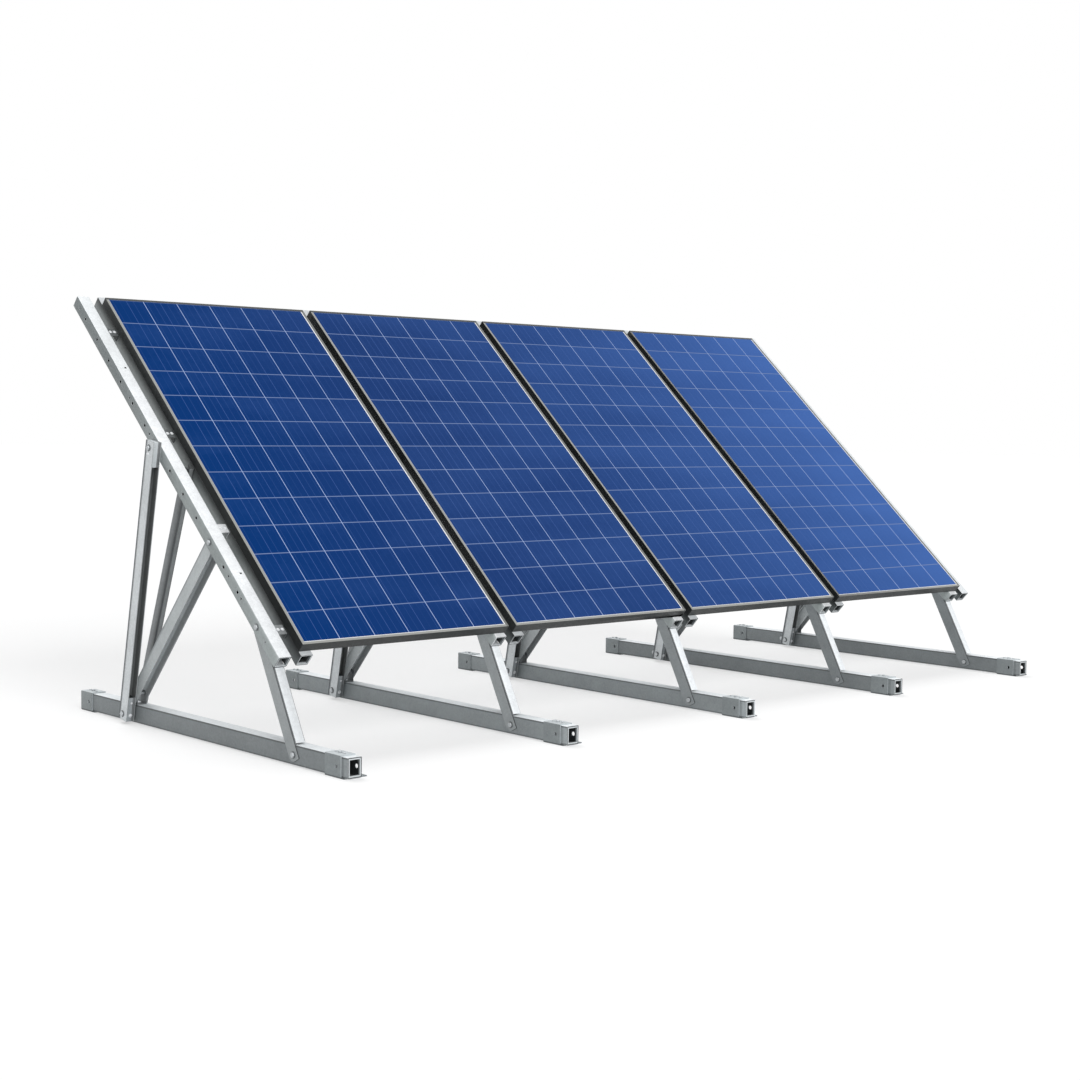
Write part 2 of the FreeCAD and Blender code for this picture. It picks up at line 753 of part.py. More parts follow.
longBar = makeFrameBar("long_bar", "panel_length")
shortBar = makeFrameBar("short_bar", "panel_width")
panelFrame = gather("panel_frame_flat", [
    turnedBar("left_bar", longBar, "0", "0", 0),
    turnedBar("right_bar", longBar, "panel_width", "panel_length", 180),
    turnedBar("low_bar", shortBar, "panel_width", "0", 90),
    turnedBar("top_bar", shortBar, "0", "panel_length", -90)])

laminate = doc.addObject("Part::Box", "laminate_flat")
laminate.setExpression("Length", bound("panel_width - 2 * laminate_inset"))
laminate.setExpression("Width", bound("panel_length - 2 * laminate_inset"))
laminate.setExpression("Height", bound("laminate_depth"))
laminate.setExpression("Placement.Base.x", bound("laminate_inset"))
laminate.setExpression("Placement.Base.y", bound("laminate_inset"))
laminate.setExpression("Placement.Base.z", bound("-frame_lip_wall - laminate_depth"))


def makeJunctionBox():
    """Flat box on the back of the laminate with two cable glands on its lower side."""
    body = doc.addObject("PartDesign::Body", "junction_box_flat")
    under = "(frame_lip_wall + laminate_depth)"
    left = "(panel_width - box_width) / 2"
    low = "(panel_length - box_from_top - box_length)"
    sketch = newSketch(body, "junction_box_outline", "XY_Plane", f"-{under} - box_depth")
    drawRectangle(sketch, left, f"{left} + box_width", low, f"{low} + box_length")
    addPad(body, "junction_box_pad", sketch, "box_depth")
    doc.recompute()
    bevelEdges(body, "junction_box_corners", "box_corner",
               lambda edge: abs(edge.Vertexes[0].Z - edge.Vertexes[-1].Z) > 1)
    glands = newSketch(body, "junction_box_glands_outline", "XZ_Plane", f"-{low}")
    for side in ("-", "+"):
        across = f"panel_width / 2 {side} gland_spread / 2"
        drawPolygon(glands, across, f"-{under} - box_depth / 2", "gland_radius")
    addPad(body, "junction_box_glands", glands, "gland_length")
    doc.recompute()
    return body


junctionBox = makeJunctionBox()


def leanPanel(label, pieces, index):
    """Pieces of a panel leaned to the slope and put in the row."""
    piece = gather(label, pieces, f"{frameCentre(index)} + panel_gap / 2", "low_edge", "low_edge_height")
    piece.Placement.Rotation = Rotation(Vector(1, 0, 0), 10)
    piece.setExpression("Placement.Rotation.Angle", bound("tilt"))
    return piece


# The named parts
parts = []
frameMembers = {
    "base_beam": beam, "rear_post": post, "second_post": second, "rear_brace": brace,
    "front_leg": leg, "left_rail": leftRail, "right_rail": rightRail,
}
for index in range(frameCount):
    for name, member in frameMembers.items():
        parts.append(gather(f"{name}_{index + 1}", [member], frameCentre(index)))

repeatedSets = {
    "front_feet": [foot], "rear_feet": [rearFoot], "post_inserts": [footInsert, headInsert],
    "brace_brackets": [bracket], "rail_links": links, "spacers": [postSpacer, secondSpacer],
    "lower_bolts": lowerSet, "upper_bolts": upperSet,
}
for name, members in repeatedSets.items():
    copies = [gather(f"{name}_{index + 1}", members, frameCentre(index)) for index in range(frameCount)]
    parts.append(gather(name, copies))

for index in range(panelCount):
    parts.append(leanPanel(f"panel_frame_{index + 1}", [panelFrame], index))
    parts.append(leanPanel(f"panel_laminate_{index + 1}", [laminate], index))
    parts.append(leanPanel(f"junction_box_{index + 1}", [junctionBox], index))

doc.recompute()
for item in doc.Objects:
    if {"Invalid", "Error"} & set(item.State):
        raise RuntimeError(f"{item.Label}: {item.State}")
for part in parts:
    if part.Shape.isNull() or not part.Shape.isValid():
        raise RuntimeError(f"{part.Label}: bad shape")

os.makedirs("parts", exist_ok=True)
for part in parts:
    part.Shape.exportStep(f"parts/{part.Label}.step")
print(len(parts), "parts written")
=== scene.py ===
import bpy, math
from mathutils import Matrix, Vector


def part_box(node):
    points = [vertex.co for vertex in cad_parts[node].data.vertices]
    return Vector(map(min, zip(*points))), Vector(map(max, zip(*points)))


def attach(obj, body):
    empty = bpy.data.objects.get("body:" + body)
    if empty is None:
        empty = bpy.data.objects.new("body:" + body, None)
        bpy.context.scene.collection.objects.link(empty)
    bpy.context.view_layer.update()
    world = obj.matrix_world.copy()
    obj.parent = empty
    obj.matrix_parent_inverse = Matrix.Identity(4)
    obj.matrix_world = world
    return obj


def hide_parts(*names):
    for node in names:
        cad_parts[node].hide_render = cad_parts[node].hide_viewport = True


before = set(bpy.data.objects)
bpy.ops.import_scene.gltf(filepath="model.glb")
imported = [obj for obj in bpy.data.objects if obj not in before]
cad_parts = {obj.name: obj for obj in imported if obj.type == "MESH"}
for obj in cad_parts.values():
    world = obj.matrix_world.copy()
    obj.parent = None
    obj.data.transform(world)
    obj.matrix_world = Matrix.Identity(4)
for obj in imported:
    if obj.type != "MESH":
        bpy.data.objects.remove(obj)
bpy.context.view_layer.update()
print("frame loaded:", len(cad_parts), "CAD nodes")

scene = bpy.context.scene
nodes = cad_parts
frameCount = 5
panelCount = 4

# the middle of each frame along the row, measured from its beam's left face
beamFace = 0.068
frameMiddles = [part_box(f"base_beam_{number}")[0].x + beamFace for number in range(1, frameCount + 1)]
framePitch = frameMiddles[1] - frameMiddles[0]

# where the panels lie, worked out from the frame
tilt = math.radians(42)
panelLow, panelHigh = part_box("panel_frame_1")
panelWidth = panelHigh.x - panelLow.x
panelDepth = 0.040
lowEdge = Vector((panelLow.x, panelLow.y, panelLow.z + panelDepth * math.cos(tilt)))
panelLength = (panelHigh.z - lowEdge.z) / math.sin(tilt)
slopeUp = Vector((0, math.cos(tilt), math.sin(tilt)))
slopeOut = Vector((0, -math.sin(tilt), math.cos(tilt)))


def deselectAll():
    if bpy.context.object and bpy.context.object.mode != "OBJECT":
        bpy.ops.object.mode_set(mode="OBJECT")
    bpy.ops.object.select_all(action="DESELECT")


def makeActive(obj):
    deselectAll()
    obj.select_set(True)
    bpy.context.view_layer.objects.active = obj


def applyPlace(obj):
    # the finished piece sits at the origin with its place in its mesh
    makeActive(obj)
    bpy.ops.object.transform_apply(location=True, rotation=True, scale=True)


def memberSection(mesh):
    # the way across a member in the YZ plane, pointing to the rear, and its range along that way
    def reach(edge):
        first, second = (mesh.vertices[index].co for index in edge.vertices)
        return second - first

    along = reach(max(mesh.edges, key=lambda edge: reach(edge).length)).normalized()
    across = Vector((0, along.z, -along.y))
    if across.y < 0 or (abs(across.y) < 0.01 and across.z < 0):
        across.negate()
    spread = [across.dot(vertex.co) for vertex in mesh.vertices]
    return across, min(spread), max(spread)


def applyModifiers(obj):
    makeActive(obj)
    for modifier in list(obj.modifiers):
        bpy.ops.object.modifier_apply(modifier=modifier.name)


def bevelPiece(obj, width, segments=1, angle=60):
    bevel = obj.modifiers.new("edges", "BEVEL")
    bevel.width = width
    bevel.segments = segments
    bevel.limit_method = "ANGLE"
    bevel.angle_limit = math.radians(angle)
    applyModifiers(obj)


def shadeRound(obj, angle=35):
    makeActive(obj)
    bpy.ops.object.shade_smooth_by_angle(angle=math.radians(angle))


def smoothPiece(obj):
    # round shading over bends and bevels, with the large faces kept flat
    shadeRound(obj, 50)
    weighted = obj.modifiers.new("flat faces", "WEIGHTED_NORMAL")
    weighted.mode = "FACE_AREA"
    weighted.keep_sharp = True
    applyModifiers(obj)


def finishPiece(obj, name, material, slotName, *cadNodes):
    obj.name = name
    obj.data.name = name
    obj.data.materials.clear()
    obj.data.materials.append(material)
    for face in obj.data.polygons:
        face.material_index = 0
    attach(obj, "root")
    if cadNodes:
        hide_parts(*cadNodes)


def joinAll(parts, name):
    deselectAll()
    for part in parts:
        part.select_set(True)
    bpy.context.view_layer.objects.active = parts[0]
    bpy.ops.object.join()
    joined = bpy.context.object
    joined.name = name
    return joined


mergeDistance, flatAngle = 0.00002, math.radians(1)


def copyNode(nodeName):
    # an own copy of a CAD node, its triangles merged into flat faces
    source = nodes[nodeName]
    copy = source.copy()
    copy.data = source.data.copy()
    copy.parent = None
    scene.collection.objects.link(copy)
    makeActive(copy)
    bpy.ops.object.mode_set(mode="EDIT")
    bpy.ops.mesh.select_all(action="SELECT")
    bpy.ops.mesh.remove_doubles(threshold=mergeDistance)
    bpy.ops.mesh.dissolve_limited(angle_limit=flatAngle)
    bpy.ops.mesh.normals_make_consistent(inside=False)
    bpy.ops.object.mode_set(mode="OBJECT")
    return copy


def nodeSection(nodeName):
    copy = copyNode(nodeName)
    section = memberSection(copy.data)
    bpy.data.objects.remove(copy, do_unlink=True)
    return section


def islandBoxes(nodeName):
    # lowest and highest corner of each separate solid in a CAD node
    copyNode(nodeName)
    bpy.ops.object.mode_set(mode="EDIT")
    bpy.ops.mesh.select_all(action="SELECT")
    bpy.ops.mesh.separate(type="LOOSE")
    bpy.ops.object.mode_set(mode="OBJECT")
    boxes = []
    pieces = list(bpy.context.selected_objects)
    for piece in pieces:
        points = [vertex.co for vertex in piece.data.vertices]
        low = Vector([min(point[axis] for point in points) for axis in range(3)])
        high = Vector([max(point[axis] for point in points) for axis in range(3)])
        boxes.append((low, high))
    for piece in pieces:
        bpy.data.objects.remove(piece, do_unlink=True)
    return sorted(boxes, key=lambda box: (round(box[0].x, 3), round(box[0].y, 3)))


def pasteCopies(model, matrices, name):
    # one joined piece from a model and the places of its copies
    copies = []
    for matrix in matrices:
        copy = model.copy()
        copy.data = model.data.copy()
        copy.data.transform(matrix)
        scene.collection.objects.link(copy)
        copies.append(copy)
    bpy.data.objects.remove(model, do_unlink=True)
    return joinAll(copies, name)


def newMaterial(name):
    material = bpy.data.materials.new(name)
    material.use_nodes = True
    tree = material.node_tree
    tree.nodes.clear()
    shader = tree.nodes.new("ShaderNodeBsdfPrincipled")
    output = tree.nodes.new("ShaderNodeOutputMaterial")
    tree.links.new(shader.outputs["BSDF"], output.inputs["Surface"])
    return material, tree, shader


def addNode(tree, kind, label="", **values):
    node = tree.nodes.new(kind)
    node.label = label
    for key, value in values.items():
        if hasattr(node, key):
            setattr(node, key, value)
        else:
            node.inputs[key].default_value = value
    return node


def mathNode(tree, operation, first, second=None, third=None, clamp=False):
    node = tree.nodes.new("ShaderNodeMath")
    node.operation = operation
    node.use_clamp = clamp
    for index, value in enumerate((first, second, third)):
        if value is None:
            continue
        if isinstance(value, (int, float)):
            node.inputs[index].default_value = value
        else:
            tree.links.new(value, node.inputs[index])
    return node.outputs[0]


def mixColour(tree, factor, first, second, blend="MIX"):
    node = tree.nodes.new("ShaderNodeMix")
    node.data_type = "RGBA"
    node.blend_type = blend
    for socket, value in ((node.inputs[0], factor), (node.inputs[6], first), (node.inputs[7], second)):
        if isinstance(value, (int, float)):
            socket.default_value = value
        elif isinstance(value, tuple):
            socket.default_value = (*value, 1)
        else:
            tree.links.new(value, socket)
    return node.outputs[2]


def remap(tree, value, fromLow, fromHigh, toLow, toHigh):
    node = tree.nodes.new("ShaderNodeMapRange")
    tree.links.new(value, node.inputs["Value"])
    node.inputs["From Min"].default_value = fromLow
    node.inputs["From Max"].default_value = fromHigh
    node.inputs["To Min"].default_value = toLow
    node.inputs["To Max"].default_value = toHigh
    return node.outputs[0]


def objectPlace(tree):
    return tree.nodes.new("ShaderNodeTexCoord").outputs["Object"]


def surfaceNormal(tree):
    return tree.nodes.new("ShaderNodeNewGeometry").outputs["Normal"]


def newGroup(name, inputs, outputs):
    group = bpy.data.node_groups.new(name, "ShaderNodeTree")
    for sockets, side in ((inputs, "INPUT"), (outputs, "OUTPUT")):
        for title, kind in sockets.items():
            group.interface.new_socket(name=title, in_out=side, socket_type="NodeSocket" + kind)
    return group, group.nodes.new("NodeGroupInput"), group.nodes.new("NodeGroupOutput")


def useGroup(tree, group, **values):
    node = tree.nodes.new("ShaderNodeGroup")
    node.node_tree = group
    for key, value in values.items():
        node.inputs[key].default_value = value
    return node


def addBump(tree, shader, height, look):
    bumpNode = addNode(tree, "ShaderNodeBump", Strength=look["bump"], Distance=look["bumpDistance"])
    tree.links.new(height, bumpNode.inputs["Height"])
    tree.links.new(bumpNode.outputs[0], shader.inputs["Normal"])


noiseSpan = (0.3, 0.7)  # where nearly all values of a noise texture lie
spangleLook = {
    "clouds": {"Scale": 7.0, "Detail": 4.0, "Roughness": 0.6}, "grains": {"Scale": 140.0},
    "specks": {"Scale": 420.0, "Detail": 2.0}, "streaks": {"Scale": 26.0, "Detail": 5.0, "Roughness": 0.7},
    "cloudShare": 0.06, "grainShare": 0.05, "streakShare": 0.05, "speckShare": 0.048, "speckHeight": 0.6,
    "roughness": 0.38, "grainRoughness": 0.14, "streakRoughness": 0.12, "sideStart": 0.45, "sideEnd": 0.85,
    "bump": 0.06, "bumpDistance": 0.0006,
}


def makeZincGroup():
    # hot-dip zinc: soft clouds, small spangle grains, fine specks, and painted shade or painted light on the
    # faces that look left or right
    look = spangleLook
    group, enter, leave = newGroup(
        "zincSpangle", {"Face": "Color", "Side": "Color"},
        {"Colour": "Color", "Roughness": "Float", "Height": "Float", "Sideways": "Float"})
    place = objectPlace(group)
    clouds = addNode(group, "ShaderNodeTexNoise", "clouds", **look["clouds"])
    grains = addNode(group, "ShaderNodeTexVoronoi", "spangle grains", **look["grains"])
    specks = addNode(group, "ShaderNodeTexNoise", "specks", **look["specks"])
    streaks = addNode(group, "ShaderNodeTexNoise", "streaks", **look["streaks"])
    for texture in (clouds, grains, specks, streaks):
        group.links.new(place, texture.inputs["Vector"])
    grainTone = addNode(group, "ShaderNodeSeparateColor")
    group.links.new(grains.outputs["Color"], grainTone.inputs[0])
    facing = addNode(group, "ShaderNodeSeparateXYZ")
    group.links.new(surfaceNormal(group), facing.inputs[0])
    aside = mathNode(group, "ABSOLUTE", facing.outputs[0])
    sideways = remap(group, aside, look["sideStart"], look["sideEnd"], 0.0, 1.0)
    group.links.new(sideways, leave.inputs["Sideways"])
    # painted shade or painted light: the faces that look left or right take the side tone
    skin = mixColour(group, sideways, enter.outputs["Face"], enter.outputs["Side"])
    tone = 1.0
    for value, span, share in ((clouds.outputs[0], noiseSpan, "cloudShare"),
                               (grainTone.outputs[0], (0.0, 1.0), "grainShare"),
                               (streaks.outputs[0], noiseSpan, "streakShare"),
                               (specks.outputs[0], noiseSpan, "speckShare")):
        tone = mathNode(group, "ADD", remap(group, value, *span, -look[share], look[share]), tone)
    grey = addNode(group, "ShaderNodeCombineColor")
    for index in range(3):
        group.links.new(tone, grey.inputs[index])
    group.links.new(mixColour(group, 1.0, skin, grey.outputs[0], "MULTIPLY"), leave.inputs["Colour"])
    rough = mathNode(group, "MULTIPLY_ADD", grainTone.outputs[1], look["grainRoughness"], look["roughness"])
    rough = mathNode(group, "MULTIPLY_ADD", streaks.outputs[0], look["streakRoughness"], rough)
    group.links.new(rough, leave.inputs["Roughness"])
    height = mathNode(group, "MULTIPLY_ADD", specks.outputs[0], look["speckHeight"], grainTone.outputs[2])
    group.links.new(height, leave.inputs["Height"])
    return group


zincGroup = makeZincGroup()


def makeZinc(name, face, side, bands=(), metallic=0.25):
    # each band paints shade or light: it moves the colour towards a tone where the place along a way passes
    # from start to end, one marked side only on the faces that look left or right
    material, tree, shader = newMaterial(name)
    zinc = useGroup(tree, zincGroup, Face=(*face, 1), Side=(*side, 1))
    colour = zinc.outputs["Colour"]
    for way, start, end, tone, *only in bands:
        spot = addNode(tree, "ShaderNodeVectorMath", operation="DOT_PRODUCT")
        tree.links.new(objectPlace(tree), spot.inputs[0])
        spot.inputs[1].default_value = way
        reach = remap(tree, spot.outputs["Value"], start, end, 0.0, 1.0)
        if only:
            reach = mathNode(tree, "MULTIPLY", reach, zinc.outputs["Sideways"])
        colour = mixColour(tree, reach, colour, mixColour(tree, 1.0, colour, tone, "MULTIPLY"))
    tree.links.new(colour, shader.inputs["Base Color"])
    tree.links.new(zinc.outputs["Roughness"], shader.inputs["Roughness"])
    shader.inputs["Metallic"].default_value = metallic
    addBump(tree, shader, zinc.outputs["Height"], spangleLook)
    return material


postAcross, postFront, postRear = nodeSection("rear_post_1")
secondAcross, secondFront = nodeSection("second_post_1")[:2]
braceAcross, braceFront, braceRear = nodeSection("rear_brace_1")
postMiddle, braceMiddle = (postFront + postRear) / 2, (braceFront + braceRear) / 2
acrossRow, alongBeam, upwards = (1, 0, 0), (0, 1, 0), (0, 0, 1)
upRail, outOfRail = tuple(slopeUp), tuple(slopeOut)
acrossPost, acrossSecond, acrossBrace = tuple(postAcross), tuple(secondAcross), tuple(braceAcross)
railOut, railUp = slopeOut.dot(lowEdge), slopeUp.dot(lowEdge)

# the tone of each kind of piece: its faces, its sides in painted shade or painted light, and the bands of
# painted shade and light along a way
zincLooks = {
    # beam: sides painted darker, with painted shade along their bottom and top edges; painted light from the
    # second frame on, painted shade on the sides of the fourth and fifth frames, and painted light on the
    # sides at the front tube end
    "beam": {"face": (0.756, 0.792, 0.810), "side": (0.236, 0.258, 0.266),
             "bands": [(upwards, 0.0120, 0.0080, (0.50, 0.50, 0.50), "side"),
                       (upwards, 0.0700, 0.0725, (0.52, 0.52, 0.52), "side"),
                       (acrossRow, -1.9, -1.2, (1.10, 1.10, 1.10)),
                       (acrossRow, -1.9, -1.2, (1.20, 1.20, 1.20), "side"),
                       (acrossRow, 0.5, 0.9, (0.76, 0.76, 0.76), "side"),
                       (alongBeam, -0.9550, -0.9560, (1.30, 1.30, 1.30), "side")]},
    # left rail: sides painted darker, with painted light on them near the low end and painted shade towards
    # the high end, where the whole rail is painted a little darker too
    "leftRail": {"face": (0.810, 0.830, 0.845), "side": (0.324, 0.357, 0.357),
                 "bands": [(upRail, railUp + 0.45, railUp + 0.10, (1.18, 1.18, 1.18), "side"),
                           (upRail, railUp + 1.15, railUp + 1.45, (0.68, 0.69, 0.70), "side"),
                           (upRail, railUp + 1.30, railUp + 1.60, (0.92, 0.93, 0.93))]},
    # right rail: sides painted darker, with painted shade on them near the panel's underside and near the low
    # end; painted light towards the fifth frame
    "rightRail": {"face": (0.592, 0.616, 0.632), "side": (0.303, 0.328, 0.328),
                  "bands": [(outOfRail, railOut - 0.074, railOut - 0.044, (0.25, 0.25, 0.25), "side"),
                            (upRail, railUp + 0.30, railUp + 0.12, (0.55, 0.56, 0.57), "side"),
                            (acrossRow, 1.0, 2.0, (1.20, 1.20, 1.20))]},
    # post: the faces that look left or right painted lighter than the rest, and painted shade towards their
    # rear edge
    "post": {"face": (0.400, 0.424, 0.432), "side": (0.689, 0.722, 0.738),
             "bands": [(acrossPost, postRear - 0.021, postRear - 0.011, (0.16, 0.17, 0.18), "side")]},
    # second post: the faces that look left or right painted darker, and the whole post painted darker towards
    # its front edge
    "second": {"face": (0.496, 0.528, 0.536), "side": (0.279, 0.295, 0.303),
               "bands": [(acrossSecond, secondFront + 0.030, secondFront + 0.006, (0.45, 0.45, 0.45))]},
    # brace: the faces that look left or right painted lighter than the rest, and painted shade towards their
    # rear edge
    "brace": {"face": (0.400, 0.424, 0.432), "side": (0.508, 0.541, 0.549),
              "bands": [(acrossBrace, braceRear - 0.016, braceRear - 0.008, (0.6, 0.61, 0.62), "side")]},
    # leg: sides painted darker; painted light from the second frame on, and painted shade on the sides that
    # grows along the row
    "leg": {"face": (0.624, 0.648, 0.664), "side": (0.353, 0.377, 0.385),
            "bands": [(acrossRow, -1.7, -0.9, (1.30, 1.30, 1.30)),
                      (acrossRow, -1.7, 0.8, (0.62, 0.63, 0.64), "side")]},
    # foot sleeves: sides painted darker, and painted shade along the bottom next to the floor
    "sheet": {"face": (0.512, 0.552, 0.568), "side": (0.271, 0.299, 0.307),
              "bands": [(upwards, 0.0075, 0.0045, (0.40, 0.41, 0.42))]},
    # post inserts: sides painted darker, and painted shade on the inserts low at the post feet
    "insert": {"face": (0.496, 0.528, 0.544), "side": (0.328, 0.353, 0.361),
               "bands": [(upwards, 0.60, 0.40, (0.66, 0.67, 0.68))]},
    "insertShade": {"face": (0.160, 0.170, 0.176), "side": (0.110, 0.118, 0.121)},
    # brace brackets: painted shade, the whole bracket dark
    "bracket": {"face": (0.170, 0.182, 0.188), "side": (0.150, 0.162, 0.168)},
    # rail links: sides painted darker, and painted shade on the links high and low on the rails, the links in
    # between keeping their tone
    "link": {"face": (0.736, 0.752, 0.768), "side": (0.295, 0.320, 0.328),
             "bands": [(upRail, railUp + 0.74, railUp + 0.80, (0.16, 0.17, 0.17)),
                       (upRail, railUp + 0.50, railUp + 0.44, (0.35, 0.36, 0.36))]},
    # inside the hollow members: painted shade; inside the post and the brace, the faces that look left or
    # right are painted lighter and the front half painted darker
    "inside": {"face": (0.104, 0.112, 0.116), "side": (0.082, 0.090, 0.094)},
    "postInside": {"face": (0.260, 0.276, 0.284), "side": (0.440, 0.461, 0.465),
                   "bands": [(acrossPost, postMiddle + 0.0010, postMiddle - 0.0010, (0.45, 0.45, 0.45))]},
    "braceInside": {"face": (0.420, 0.444, 0.452), "side": (0.820, 0.850, 0.860),
                    "bands": [(acrossBrace, braceMiddle + 0.004, braceMiddle - 0.004, (0.45, 0.45, 0.455))]},
    "railInside": {"face": (0.096, 0.104, 0.108), "side": (0.098, 0.107, 0.111)},
    "mouth": {"face": (0.576, 0.608, 0.624), "side": (0.246, 0.271, 0.279)},
    "bolt": {"face": (0.515, 0.538, 0.554), "side": (0.515, 0.538, 0.554), "metallic": 0.75},
    "brightBolt": {"face": (0.765, 0.782, 0.799), "side": (0.765, 0.782, 0.799)},
    # washers and spacers: painted dark, as painted shade round the bolts
    "washer": {"face": (0.160, 0.172, 0.176), "side": (0.164, 0.176, 0.180)},
}
zincs = {name: makeZinc(name + "Zinc", **look) for name, look in zincLooks.items()}


def makePanelPlaceGroup():
    # place on the panels: across one panel, up its slope, and out of its glass, in metres
    group, enter, leave = newGroup(
        "panelPlace", {}, dict.fromkeys(("Across", "Up", "Out", "Panel", "Along"), "Float"))
    moved = addNode(group, "ShaderNodeVectorMath", operation="SUBTRACT")
    group.links.new(objectPlace(group), moved.inputs[0])
    moved.inputs[1].default_value = lowEdge
    turned = addNode(group, "ShaderNodeVectorRotate", rotation_type="X_AXIS")
    group.links.new(moved.outputs[0], turned.inputs["Vector"])
    turned.inputs["Angle"].default_value = -tilt
    parts = addNode(group, "ShaderNodeSeparateXYZ")
    group.links.new(turned.outputs[0], parts.inputs[0])
    number = mathNode(group, "FLOOR", mathNode(group, "DIVIDE", parts.outputs[0], framePitch))
    across = mathNode(group, "SUBTRACT", parts.outputs[0], mathNode(group, "MULTIPLY", number, framePitch))
    group.links.new(across, leave.inputs["Across"])
    group.links.new(parts.outputs[1], leave.inputs["Up"])
    group.links.new(parts.outputs[2], leave.inputs["Out"])
    group.links.new(number, leave.inputs["Panel"])
    along = mathNode(group, "DIVIDE", parts.outputs[0], framePitch * panelCount)
    group.links.new(along, leave.inputs["Along"])
    return group


panelPlaceGroup = makePanelPlaceGroup()

cellLook = {
    "columns": 6, "rows": 13, "busbars": 5, "lip": 0.011,
    "leftBlue": (0.0012, 0.033, 0.160), "reflectedBlue": (0.0120, 0.0415, 0.162), "reflectionEnd": 0.28,
    "rightBlue": (0.053, 0.129, 0.385), "backSheet": (0.86, 0.87, 0.88),
    "columnLine": (0.36, 0.46, 0.72), "columnHalfWidth": 0.0015, "columnSoftness": 0.0005,
    "rowLine": (0.165, 0.225, 0.40), "rowHalfWidth": 0.0022, "rowSoftness": 0.0007,
    "busbar": (0.060, 0.120, 0.34), "busbarHalfWidth": 0.0009, "busbarSoftness": 0.0005,
    "faintestBusbar": 0.10, "faintBusbar": 0.55,
    "fingerPitch": 0.0052, "fingerHalfWidth": 0.0006, "fingerSoftness": 0.0006, "fingerStrength": 0.05,
    "rightStrip": 0.0055, "lowStrip": 0.0035, "leftStrip": 0.003, "leftClear": 0.0018, "leftStrength": 0.45,
    "crystalScale": 55.0, "sheenAcross": 5.0, "sheenUp": 4.5, "sheenSpan": (0.35, 0.65),
    "sheenLow": -0.05, "sheenHigh": 0.07,
    "spreadPower": 2.2, "cellShare": 0.05, "heightShare": 0.05, "crystalShare": 0.04, "spreadDrop": 0.07,
    "glassRoughness": 0.30, "backRoughness": 0.55, "coat": 0.04, "coatRoughness": 0.06,
}


